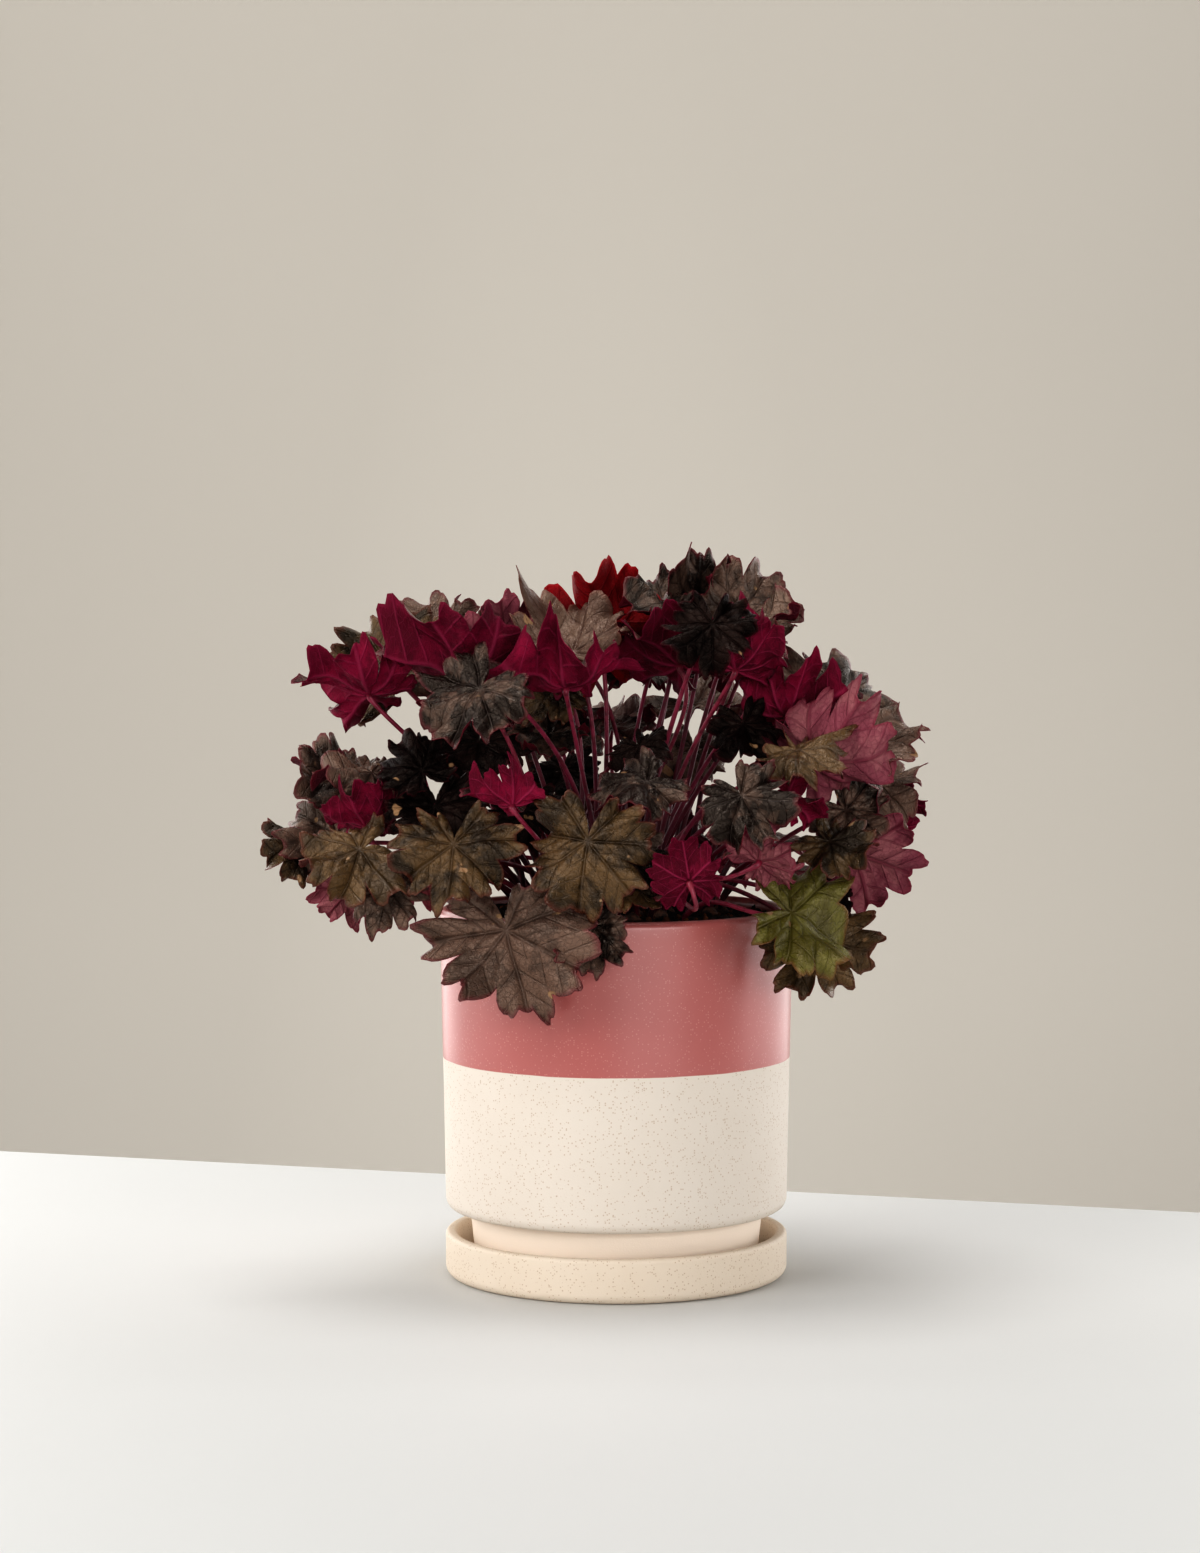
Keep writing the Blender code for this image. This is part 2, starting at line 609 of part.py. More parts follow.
def leaf_mesh(leaf, extra, sink):
    """Corners and triangles of one leaf, its blade and stalk in one closed body.

    extra makes it fatter all round, which is how a clear place for it is found."""
    edge = edge_directions()
    ring = np.array([-NOTCH, *INNER_TURNS])
    rho = np.concatenate([np.ones(len(edge)), np.full(len(ring), INNER_RING), [0.0]])
    s = np.concatenate([edge, ring, [0.0]])
    middle = blade_surface(leaf, rho, s)
    edge_ids = list(range(len(edge)))
    ring_ids = list(range(len(edge), len(edge) + len(ring)))
    centre = len(middle) - 1
    band = zip_rings(edge_ids, edge * LOBE_TURN, ring_ids, ring * LOBE_TURN)
    fan = [(a, b, centre) for a, b in zip(ring_ids, ring_ids[1:] + ring_ids[:1])]
    shift = point_normals(middle, band + fan) * (BLADE_THICK / 2 + extra)
    below = centre + 1
    stalk_first = below + centre
    rings = stalk_rings(leaf, STALK_RADIUS + extra, sink)
    points = np.vstack([middle + shift, (middle - shift)[:-1], rings])
    blade = band + fan + [(below + a, below + c, below + b) for a, b, c in band]
    for a, b in zip(edge_ids, edge_ids[1:] + edge_ids[:1]):
        blade += [(a, below + b, b), (a, below + a, below + b)]
    last = stalk_first + (STALK_SPANS + 1) * STALK_SIDES
    along, across, _ = leaf["axes"]
    top = points[last : last + STALK_SIDES]
    spokes = top - top.mean(axis=0)
    turns = np.arctan2(spokes @ across, spokes @ along)
    order = np.argsort(turns)
    top_ids = [last + int(corner) for corner in order]
    seat = zip_rings([below + i for i in ring_ids], ring * LOBE_TURN, top_ids, turns[order])
    seat = [(a, c, b) for a, b, c in seat]
    stalk = [tuple(stalk_first + corner for corner in reversed(range(STALK_SIDES)))]
    for span in range(STALK_SPANS + 1):
        low = stalk_first + span * STALK_SIDES
        for corner in range(STALK_SIDES):
            a = low + corner
            b = low + (corner + 1) % STALK_SIDES
            stalk += [(a, b, b + STALK_SIDES), (a, b + STALK_SIDES, a + STALK_SIDES)]
    slots = [0] * len(band + fan) + [1] * (len(blade) - len(band + fan) + len(seat)) + [2] * len(stalk)
    return points, blade, seat, stalk, slots


# Search for clear places


def crosses_itself(points, blade, _seat, stalk, _slots):
    corners = points.tolist()
    blade_tree = BVHTree.FromPolygons(corners, blade)
    if blade_tree.overlap(BVHTree.FromPolygons(corners, stalk)):
        return True
    for a, b in blade_tree.overlap(blade_tree):
        if not set(blade[a]) & set(blade[b]):
            return True
    return False


def touches_soil(points):
    """Whether any of these points lies in the soil, or too close over it."""
    inside = np.hypot(points[:, 0], points[:, 1]) < POT_RADIUS
    near = points[inside]
    return bool((near[:, 2] < soil_height(near[:, 0], near[:, 1]) + 2 * LEAF_GAP).any())


def find_place(row, root, number, sink, taken):
    """The first try of this leaf that is clear of the pot and of every leaf in place, or None."""
    for attempt in range(TRIES):
        leaf = leaf_pose(row, root, number, attempt)
        points, blade, seat, stalk, _ = leaf_mesh(leaf, LEAF_GAP, sink)
        if touches_soil(points[: -(STALK_SPANS + 2) * STALK_SIDES]):
            continue
        low = points.min(axis=0)
        high = points.max(axis=0)
        tree = BVHTree.FromPolygons(points.tolist(), blade + seat + stalk)
        near = (other for a, b, other in taken if (a < high).all() and (b > low).all())
        if any(tree.overlap(other) for other in near):
            continue
        if not crosses_itself(*leaf_mesh(leaf, 0.0, sink)):
            return leaf, attempt
    return None, TRIES


def tree_of(points, faces):
    return points.min(axis=0), points.max(axis=0), BVHTree.FromPolygons(points.tolist(), faces)


def tree_of_object(obj):
    bpy.context.view_layer.update()
    mesh = obj.evaluated_get(bpy.context.evaluated_depsgraph_get()).data
    points = np.array([tuple(vertex.co) for vertex in mesh.vertices])
    return tree_of(points, [tuple(polygon.vertices) for polygon in mesh.polygons])


# Crown


def back_shoots():
    """The far side's shoots, spread round it by the golden ratio."""
    draw = np.random.default_rng(SEED)
    shoots = []
    for number in range(BACK_SHOOTS):
        turn = BACK_FROM + (BACK_TO - BACK_FROM) * (number * GOLDEN_PART % 1)
        shoot = []
        for side, tier in zip((-1, 1), BACK_TIERS):
            way = turn + side * BACK_PART
            stray = draw.uniform(-1, 1, 3) * BACK_STRAY
            rise = math.radians(tier["rise"] + stray[2])
            out = np.array((math.cos(way), math.sin(way), 0.0))
            joint = out * (tier["reach"] + stray[0]) + (0, 0, tier["height"] + stray[1])
            reach = out * math.cos(rise) + (0, 0, math.sin(rise))
            tip = joint + reach * draw.uniform(*BACK_LENGTH)
            face = (math.degrees(way), BACK_FACE + stray[2])
            colour = tier["colours"][number % len(tier["colours"])]
            shoot.append((colour, tuple(joint), tuple(tip), face, BACK_CUP, BACK_DROOP))
        shoots.append(shoot)
    return shoots


def root_places(shoots):
    """A place in the soil for each shoot: the free point of a spiral that lies nearest its leaves' side."""
    number = np.arange(len(shoots))
    radius = ROOT_SPREAD * np.sqrt((number + 0.5) / len(shoots))
    turn = number * math.pi * (3 - math.sqrt(5))
    free = list(np.column_stack([radius * np.cos(turn), radius * np.sin(turn)]))
    places = []
    for shoot in shoots:
        reach = np.mean([row[1] for row in shoot], axis=0) * MM - (0, 0, POT_TOP)
        wanted = unit(reach)[:2] * ROOT_SPREAD
        nearest = min(range(len(free)), key=lambda i: float(np.linalg.norm(free[i] - wanted)))
        places.append(free.pop(nearest))
    return places


def shoot_roots(shoot, place):
    """Where the stalks of a shoot leave it: one in its middle, or two side by side."""
    if len(shoot) == 1:
        return [(*place, soil_height(*place) + ROOT_RISE)], HOLE_DEPTH + ROOT_RISE - CLEARANCE
    out = unit(np.mean([row[1][:2] for row in shoot], axis=0))
    side = np.array((-out[1], out[0])) * MATE_SPACING
    if (np.array(shoot[0][1][:2]) @ side) < (np.array(shoot[1][1][:2]) @ side):
        side = -side
    height = soil_height(*place) + SHOOT_RISE + ROOT_RISE
    return [(*(place + side), height), (*(place - side), height)], SHOOT_RISE + ROOT_RISE + MATE_SINK


def build_stub(name, place, collection, material):
    """The short woody shoot that carries two leaves."""
    points = []
    low = soil_height(*place) - HOLE_DEPTH + CLEARANCE
    high = soil_height(*place) + SHOOT_RISE
    for height, radius in ((low, SHOOT_RADIUS), (high, SHOOT_TOP_RADIUS)):
        for side in range(SHOOT_SIDES):
            turn = 2 * math.pi * (side + 0.5) / SHOOT_SIDES
            points.append((place[0] + radius * math.cos(turn), place[1] + radius * math.sin(turn), height))
    faces = [list(reversed(range(SHOOT_SIDES))), [SHOOT_SIDES + i for i in range(SHOOT_SIDES)]]
    for side in range(SHOOT_SIDES):
        after = (side + 1) % SHOOT_SIDES
        faces.append([side, after, SHOOT_SIDES + after, SHOOT_SIDES + side])
    return new_object(name, points, faces, collection, [material])


def join_shoot(name, stub, leaves, collection):
    """One body of a shoot and its leaves."""
    parts = bpy.data.collections.new(name + "_parts")
    bpy.context.scene.collection.children.link(parts)
    for leaf in leaves:
        collection.objects.unlink(leaf)
        parts.objects.link(leaf)
    union = stub.modifiers.new("Join", "BOOLEAN")
    union.operation = "UNION"
    union.solver = "EXACT"
    union.operand_type = "COLLECTION"
    union.collection = parts
    union.material_mode = "TRANSFER"
    made_plain(stub, name)
    for leaf in leaves:
        bpy.data.objects.remove(leaf, do_unlink=True)
    bpy.data.collections.remove(parts)


def build_crown(pot, collection, materials):
    """All the leaves, each in the first clear place found for it. Returns the holes that the soil needs."""
    shoots = FRONT_SHOOTS + back_shoots()
    places = root_places(shoots)
    taken = [tree_of_object(pot)]
    holes = []
    number = 0
    for index, (shoot, place) in enumerate(zip(shoots, places)):
        roots, sink = shoot_roots(shoot, place)
        found = []
        for row, root in zip(shoot, roots):
            number += 1
            leaf, attempt = find_place(row, root, number, sink, taken)
            if leaf is None:
                continue
            points, blade, seat, stalk, slots = leaf_mesh(leaf, 0.0, sink)
            taken.append(tree_of(points, blade + seat + stalk))
            upper, under = materials[row[0]]
            colours = [upper, under, materials["stalk"]]
            name = f"leaf_{index + 1:02d}"
            found.append(new_object(name, points, blade + seat + stalk, collection, colours, slots))
        if len(shoot) == 1 and found:
            holes.append((place, STALK_RADIUS, STALK_SIDES))
        elif found:
            name = f"leaf_pair_{index + 1:02d}"
            stub = build_stub(name + "_shoot", place, collection, materials["stalk"])
            join_shoot(name, stub, found, collection)
            holes.append((place, SHOOT_RADIUS, SHOOT_SIDES))
    return holes


def main():
    clear_scene()
    plant = new_collection("potted_heuchera")
    cutters = new_collection("cutters")
    stoneware = new_material("speckled_stoneware", (0.80, 0.70, 0.60), 0.55)
    clay = new_material("saucer_stoneware", (0.76, 0.62, 0.48), 0.60)
    earth = new_material("potting_soil", (0.018, 0.012, 0.009), 0.95)
    materials = {"stalk": new_material("stalk", STALK_COLOUR, 0.40)}
    for name, (upper, under) in LEAF_COLOURS.items():
        upper_face = new_material(name + "_upper", upper, 0.42)
        materials[name] = (upper_face, new_material(name + "_under", under, 0.50))
    build_saucer(plant, clay)
    pot = build_pot(plant, stoneware)
    holes = build_crown(pot, plant, materials)
    build_soil(holes, plant, cutters, earth)


main()
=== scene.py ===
"""Looks of a potted heuchera: toothed and veined leaves, a two-tone stoneware pot, soil and a plain studio.

Each leaf is grown again from the table and the formulas of the solid that it stands for, on a finer grid.
Sizes are in metres, apart from the leaf tables, which are in millimetres."""

import json
import math

import bpy
import numpy as np
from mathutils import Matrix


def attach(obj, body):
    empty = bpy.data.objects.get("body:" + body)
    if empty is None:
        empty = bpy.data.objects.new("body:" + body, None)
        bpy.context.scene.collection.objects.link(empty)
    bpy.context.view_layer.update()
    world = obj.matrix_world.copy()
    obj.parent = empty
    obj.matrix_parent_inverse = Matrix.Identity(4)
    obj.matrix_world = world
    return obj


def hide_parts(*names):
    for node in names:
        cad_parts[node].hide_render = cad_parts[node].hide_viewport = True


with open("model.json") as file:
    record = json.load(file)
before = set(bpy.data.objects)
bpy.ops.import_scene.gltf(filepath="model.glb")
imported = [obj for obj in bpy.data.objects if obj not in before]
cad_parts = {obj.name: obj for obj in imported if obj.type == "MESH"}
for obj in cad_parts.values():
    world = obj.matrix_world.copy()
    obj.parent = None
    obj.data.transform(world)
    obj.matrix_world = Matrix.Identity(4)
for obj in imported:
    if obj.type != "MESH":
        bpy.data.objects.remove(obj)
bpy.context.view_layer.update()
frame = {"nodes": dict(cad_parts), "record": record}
NODES = frame["nodes"]

MM = 0.001
SEED = 11
CLEARANCE = 0.0003

# Saucer
SAUCER_RADIUS = 0.0800
SAUCER_HEIGHT = 0.0205
SAUCER_FLOOR = 0.0060
SAUCER_FLOOR_RADIUS = 0.0722
SAUCER_RIM_INNER = 0.0748
SAUCER_RIM_ROUND = 0.0020
SAUCER_FOOT_ROUND = 0.0045

# Pot
POT_RADIUS = 0.0825
POT_LOW_RADIUS = 0.0800
POT_TOP = 0.1720
POT_BODY_LOW = 0.0315
POT_FOOT_TOP_RADIUS = 0.0686
POT_FOOT_RADIUS = 0.0660
POT_WALL = 0.0075
POT_FLOOR = 0.0090
POT_RIM_ROUND = 0.0030
POT_BODY_ROUND = 0.0050
DRAIN_RADIUS = 0.0060
ROUND_STEPS = 10

# Soil
SOIL_EDGE_DROP = 0.0045
SOIL_DOME = 0.0030
SOIL_LUMP = 0.0012
SOIL_WAVES = (0.0110, 0.0090, 0.0060)
HOLE_DEPTH = 0.0150

# Leaf blade
BLADE_THICK = 0.0007
LOBE_TURN = math.radians(47.5)
OUTER_LOBE = 3
LOBES = np.arange(-OUTER_LOBE, OUTER_LOBE + 1)
NOTCH = math.pi / LOBE_TURN
SHOULDER = 0.28
LOBE_FALL = 0.30
LOBE_FALL_POWER = 1.6
SINUS_POWER = 0.60
NOTCH_PART = 0.14
NOTCH_SPAN = NOTCH - OUTER_LOBE - 0.3
FOLD_ROUND = 0.08

# What differs from leaf to leaf: the least value and the range of each draw, and the cup that rolls up
RUFFLE = (0.13, 0.13)
RUFFLE_TURNS = (0.48, 0.27)
SWELL = (0.06, 0.12)
TWIST = (0.06, 0.14)
FOLD = (-0.08, 0.28)
SINUS = (0.12, 0.34)
LOBE_LENGTH = (0.78, 0.34)
ROLL = (0.35, 0.80)
LEAF_DRAWS = 23
CUPPED = 0.19

# Leaf stalk
STALK_RADIUS = 0.0012
STALK_SPANS = 3
STALK_SEAT = 0.0020
STALK_RISE = 0.8
STALK_LOW_REACH = 0.38
STALK_HIGH_REACH = 0.36
STALK_HIGH_MOST = 0.0260
STALK_ARRIVAL = (0.85, 0.50)
ROOT_RISE = 0.0015
ROOT_SPREAD = 0.050

# Two leaves that grow from one short shoot of the crown
MATE_SPACING = 0.0020
SHOOT_RADIUS = 0.0042
SHOOT_TOP_RADIUS = 0.0040
SHOOT_RISE = 0.0035
MATE_SINK = 0.0030

# Tries of a leaf's place
TRIES = 360
STEADY_TRIES = 12
MOST_SHRINK = 0.22
MOST_EASE = 0.6
MOST_TURN = 16
MOST_SHIFT = (5, 9, 5)
MOST_SHIFT_OUT = 17
LOW_BEND = (0.003, 0.024)
HIGH_BEND = (0.002, 0.014)

# Shoots that show from the front. A leaf is its colour, the place of its stalk's end, the place of its
# tip, the way that its upper face looks (azimuth and elevation in degrees), its cup and its droop.
FRONT_SHOOTS = [
    [("wine", (-67, -51, 278), (-108, -64, 288), (80, 62), 0.35, 0.05)],
    [("wine", (-23, -62, 276), (-27, -97, 289), (92, 74), 0.24, 0.00)],
    [("olive", (-13, -106, 210), (-18, -113, 178), (-102, 14), 0.10, 0.15)],
    [("mauve", (89, -63, 241), (109, -77, 269), (86, 14), 0.22, 0.00)],
    [("bronze", (54, -107, 230), (66, -117, 211), (-88, 28), 0.10, 0.25)],
    [("olive", (-114, -85, 205), (-137, -97, 197), (-98, 36), 0.12, 0.25)],
    [("wine", (-46, -105, 226), (-60, -119, 235), (80, 50), 0.25, 0.00)],
    [("bronze", (-49, -93, 170), (-41, -103, 134), (-100, 12), 0.14, 0.20)],
    [("green", (77, -87, 177), (108, -77, 168), (-86, 44), 0.12, 0.12)],
    [("mauve", (63, -89, 200), (78, -103, 206), (92, 24), 0.12, 0.00),
     ("wine", (32, -114, 192), (29, -124, 210), (92, 16), 0.05, 0.00)],
    [("bronze", (4, -113, 212), (19, -123, 195), (-84, 32), 0.15, 0.20),
     ("olive", (5, -93, 193), (16, -103, 179), (-84, 24), 0.12, 0.20)],
    [("wine", (-113, -61, 214), (-120, -79, 228), (92, 46), 0.20, 0.00)],
    [("bronze", (-11, -98, 172), (-12, -104, 152), (-88, 16), 0.14, 0.20)],
    [("wine", (-111, -39, 274), (-141, -57, 284), (75, 46), 0.30, 0.00),
     ("olive", (-106, -7, 283), (-121, 11, 305), (-105, 30), 0.15, 0.20)],
    [("bronze", (-87, 5, 298), (-100, 21, 327), (-115, 22), 0.25, 0.10)],
    [("mauve", (-51, -14, 289), (-54, -21, 316), (92, 8), 0.30, 0.00),
     ("bronze", (-31, -27, 258), (-45, -43, 249), (-95, 34), 0.20, 0.20)],
    [("taupe", (-20, -33, 291), (-38, -10, 312), (-95, 38), 0.20, 0.15)],
    # This leaf's colour has a painted glow of the light through it from behind
    [("ruby", (-7, -4, 292), (-12, -13, 327), (88, 4), 0.20, 0.00)],
    [("olive", (-30, -30, 277), (-42, -44, 266), (-95, 42), 0.10, 0.20),
     ("plum", (-63, -25, 250), (-66, -43, 231), (-96, 26), 0.12, 0.20)],
    [("bronze", (-60, -67, 272), (-78, -83, 246), (-105, 18), 0.12, 0.25)],
    [("bronze", (24, 15, 308), (18, 29, 328), (-95, 22), 0.10, 0.20),
     ("bronze", (25, -15, 310), (5, -29, 314), (-60, 62), 0.06, 0.05)],
    [("bronze", (41, 7, 307), (38, 17, 335), (-82, 12), 0.28, 0.00)],
    [("bronze", (57, -7, 307), (71, 9, 331), (-78, 30), 0.20, 0.15),
     ("bronze", (62, -30, 302), (80, -39, 312), (-60, 62), 0.10, 0.10)],
    [("wine", (54, -35, 297), (41, -49, 315), (96, 40), 0.30, 0.00)],
    [("wine", (57, -55, 292), (75, -75, 304), (78, 54), 0.30, 0.00)],
    [("plum", (42, -82, 305), (42, -91, 284), (-92, 14), 0.15, 0.20),
     ("plum", (57, -57, 259), (63, -75, 244), (-90, 34), 0.15, 0.20)],
    [("wine", (30, -25, 287), (8, -42, 308), (84, 40), 0.25, 0.00)],
    [("wine", (76, -45, 265), (86, -68, 286), (86, 46), 0.36, 0.00)],
    [("bronze", (99, -13, 268), (122, 1, 285), (-72, 34), 0.15, 0.20)],
    [("bronze", (114, -28, 246), (140, -37, 252), (-78, 48), 0.12, 0.20),
     ("wine", (107, -45, 237), (125, -59, 249), (80, 34), 0.20, 0.00)],
    [("olive", (80, -85, 249), (98, -103, 243), (-80, 58), 0.12, 0.10),
     ("wine", (78, -67, 236), (91, -83, 230), (84, 40), 0.15, 0.00)],
    [("bronze", (118, -21, 233), (136, -31, 219), (-72, 30), 0.12, 0.25),
     ("wine", (126, 3, 221), (144, -7, 218), (92, 24), 0.10, 0.00)],
    [("bronze", (104, -57, 224), (122, -67, 211), (-82, 34), 0.12, 0.20)],
    [("mauve", (108, -41, 200), (136, -53, 190), (96, -6), 0.15, 0.10)],
    [("olive", (94, -80, 208), (112, -89, 200), (-84, 42), 0.12, 0.20)],
    [("plum", (81, -88, 193), (66, -96, 184), (-96, 34), 0.20, 0.20),
     ("plum", (97, -64, 188), (105, -76, 175), (-88, 28), 0.20, 0.20)],
    [("olive", (91, -54, 166), (104, -61, 140), (-78, 12), 0.12, 0.20),
     ("bronze", (78, -72, 169), (82, -74, 145), (-94, 6), 0.15, 0.10)],
    [("bronze", (42, -73, 233), (21, -91, 227), (-96, 40), 0.12, 0.20)],
    [("bronze", (13, -85, 235), (-5, -99, 228), (-94, 50), 0.10, 0.20),
     ("plum", (12, -45, 247), (22, -59, 237), (-84, 40), 0.10, 0.20)],
    [("bronze", (-123, -23, 236), (-149, -33, 236), (-78, 44), 0.12, 0.15),
     ("bronze", (-111, -49, 237), (-134, -63, 235), (-96, 54), 0.15, 0.10)],
    [("plum", (-91, -59, 231), (-105, -49, 249), (-92, 26), 0.15, 0.15),
     ("plum", (-79, -75, 225), (-77, -91, 205), (-92, 18), 0.15, 0.20)],
    [("bronze", (-129, -38, 211), (-150, -31, 224), (-98, 30), 0.15, 0.20)],
    [("bronze", (-102, -79, 187), (-107, -91, 168), (-96, 12), 0.12, 0.20),
     ("mauve", (-94, -84, 190), (-101, -92, 202), (92, 24), 0.30, 0.00)],
    [("mauve", (-121, -50, 184), (-133, -60, 169), (94, -8), 0.10, 0.00),
     ("olive", (-143, -24, 204), (-161, -32, 198), (-112, 22), 0.12, 0.25)],
    [("olive", (-72, -95, 208), (-74, -111, 182), (-92, 20), 0.12, 0.25)],
    [("plum", (-43, -31, 217), (-40, -43, 199), (-90, 24), 0.12, 0.20),
     ("plum", (-24, 3, 236), (-21, -9, 221), (-90, 30), 0.12, 0.20)],
    [("bronze", (33, 7, 250), (30, -7, 232), (-90, 30), 0.12, 0.20)],
    [("plum", (81, 5, 253), (76, -7, 235), (-80, 26), 0.12, 0.20)],
]

# Shoots of the far side, each with a low leaf and a high one
BACK_SHOOTS = 10
BACK_FROM = math.radians(8)
BACK_TO = math.radians(172)
BACK_PART = math.radians(9)
BACK_TIERS = (
    {"reach": 88, "height": 204, "rise": -26, "colours": ("olive", "bronze", "mauve")},
    {"reach": 56, "height": 272, "rise": 14, "colours": ("bronze", "wine", "bronze")},
)
BACK_LENGTH = (27, 34)
BACK_STRAY = (9, 13, 18)
BACK_FACE = 46
BACK_CUP = 0.14
BACK_DROOP = 0.18
GOLDEN_PART = 0.618034

# Fine blade. Lengths are parts of the middle lobe's; a pair of values is a range of draws
FINE_DRAWS = 7001
TEETH = 5
TOOTH_SAMPLES = 4
NOTCH_SAMPLES = 5
TOOTH_POWER = 0.8
TOOTH_DEPTH = (0.02, 0.08)
LOBE_LIFT = 0.24
LOBE_CURL = 0.24
RIPPLE = 0.140
RIPPLE_TURNS = 1.35
FINE_RIPPLE = 0.045
FINE_RIPPLE_TURNS = 3.7
BULGES = 3
BULGE = 0.040
BULGE_WAVES = (5.0, 9.0)
BULGE_FULL = 0.5
BLUNT = 0.14
SHOULDER_SWELL = 0.10
SINUS_FILL = 0.06
LEAF_SWELL = 1.04
VEIN_DEPTH = 0.012
VEIN_WIDTH = 0.030
VEIN_FULL = 0.1
GROOVE_FADE = 0.6
SIDE_VEIN_LEAN = 0.9
SIDE_VEIN_STEP = 0.22
PUCKER = 0.038
PUCKER_FULL = 0.25
PUCKER_BESIDE = 0.10
EDGE_THIN = 0.6
RING_PARTS = np.array(
    [0.05, 0.11, 0.18, 0.25, 0.32, 0.39, 0.46, 0.53, 0.60, 0.67, 0.74, 0.81, 0.87, 0.92, 0.965, 1.0]
)
PATTERN_SPREAD = 4.0

# Fine stalk and woody shoot
STALK_ROWS = 24
STALK_FINE_SIDES = 8
STALK_FOOT_PART = 1.12
STALK_NECK_PART = 0.86
STALK_TAPER = 1.4
STALK_FLARE = 0.45
FLARE_FROM = 0.94
FLARE_SPAN = 0.06
STALK_END = 1.25
STALK_END_DEPTH = 0.3
STALK_END_LEAN = 0.3
STUB_SIDES = 18
STUB_ROWS = 16
STUB_RINGS = 3
STUB_RING_DEPTH = 0.10
STUB_CROWN = 0.2
STUB_CROWN_PART = 0.5
STUB_KNOB = 0.06
STUB_KNOBS = 3
STUB_KNOB_TWIST = 9
STUB_SHADE = 0.5

# Fine pot, saucer and soil
FINE_TURNS = 160
SAUCER_STEP = 0.006
POT_STEP = 0.004
GLAZE_LINE = 0.1025
GLAZE_THICK = 0.00015
GLAZE_EDGE = 0.0008
SOIL_COLUMNS = 160
SOIL_ROWS = 44
SOIL_GAP = 0.0002
SOIL_SHADE = 0.2
SOIL_GRAIN = 0.0005
GRAIN_DRAWS = 5
GRAIN_FADE = 4
CRUMBS = 620
CRUMB_DRAWS = 6
CRUMB_SIZE = (0.0007, 0.0024)
CRUMB_FLATNESS = (0.4, 1.0)
CRUMB_FROM_WALL = 0.003
CRUMB_LIFT = 0.3
CRUMB_ROUGH = 0.35
CRUMB_LEAN = 0.6
CRUMB_SIDES = 6
CRUMB_RINGS = np.array((-0.6, 0.0, 0.6))
BARK_PART = 0.25

# Camera, worked out from the ellipses of the pot and the saucer
CAMERA_PLACE = (-0.00765, -1.5887, 0.3156)
CAMERA_PITCH = 0.052
CAMERA_LENS = 78.97
CAMERA_NEAR = 0.01
SENSOR = 36.0

# Leaf colours in thousandths: ground, mottling, veins and edge, for the upper face and for the underside
LEAF_COLOURS = {
    "bronze": (
        ((14, 8, 6), (185, 116, 86), (12, 5, 5), (150, 24, 34)),
        ((150, 11, 30), (80, 9, 20), (240, 45, 70), (120, 10, 20)),
    ),
    "olive": (
        ((20, 12, 5), (138, 83, 36), (18, 9, 5), (120, 30, 18)),
        ((160, 38, 42), (100, 32, 24), (230, 80, 65), (120, 24, 22)),
    ),
    "green": (
        ((85, 72, 10), (165, 150, 34), (52, 40, 8), (150, 55, 18)),
        ((130, 70, 30), (100, 72, 18), (200, 120, 50), (120, 45, 20)),
    ),
    "taupe": (
        ((130, 75, 55), (240, 160, 120), (90, 45, 35), (180, 70, 50)),
        ((150, 30, 36), (100, 24, 24), (230, 80, 65), (120, 24, 22)),
    ),
    "wine": (
        ((14, 5, 5), (120, 60, 52), (12, 3, 4), (150, 12, 30)),
        ((255, 9, 50), (110, 4, 22), (350, 36, 100), (160, 6, 34)),
    ),
    # This leaf is the plant's own red, brightened by a painted glow of the light that shines through it from
    # behind, on both faces
    "ruby": (
        ((80, 6, 8), (140, 10, 13), (50, 4, 6), (220, 10, 16)),
        ((260, 4, 11), (170, 3, 8), (110, 2, 5), (300, 5, 12)),
    ),
    "mauve": (
        ((68, 30, 27), (120, 66, 55), (40, 14, 14), (170, 22, 30)),
        ((270, 78, 105), (380, 150, 165), (150, 16, 40), (220, 36, 62)),
    ),
    # Near-black leaves set in the crown's dark hollows: the plant's own dark leaves with painted shade in
    # their colour
    "plum": (
        ((5, 2, 2), (26, 14, 12), (4, 2, 2), (50, 6, 10)),
        ((75, 6, 17), (44, 5, 12), (125, 16, 32), (60, 5, 14)),
    ),
}
DRY_MARK = (0.36, 0.22, 0.12)
SHEEN_TINT = (1.0, 0.84, 0.72)
UPPER_GLOSS = 0.27
UNDER_GLOSS = 0.52
GLOSS_SPREAD = (-0.12, 0.16)
UPPER_SPECULAR = 0.60
DULL_SPECULAR = 0.15
UNDER_SPECULAR = 0.14

# Leaf patterns: scales, where each smooth step (FADE) starts and ends, and how much each counts (PART)
NET_SCALE = 420.0
PATCH_SCALE = 60.0
MARK_SCALE = 85.0
GRAIN_SCALE = 1500.0
MAIN_VEIN_FADE = (0.040, 0.006)
SIDE_VEIN_FADE = (0.10, 0.02)
NET_FADE = (0.09, 0.02)
MOTTLE_FADE = (0.42, 0.70)
RIM_FADE = (0.90, 1.0)
MARK_FADE = (0.735, 0.775)
SIDE_VEIN_PART = 0.65
NET_PART = 0.30
SHADE_PART = 1.2
RIM_PART = 0.75
UPPER_VEIN_PART = 0.40
UNDER_VEIN_PART = 0.60
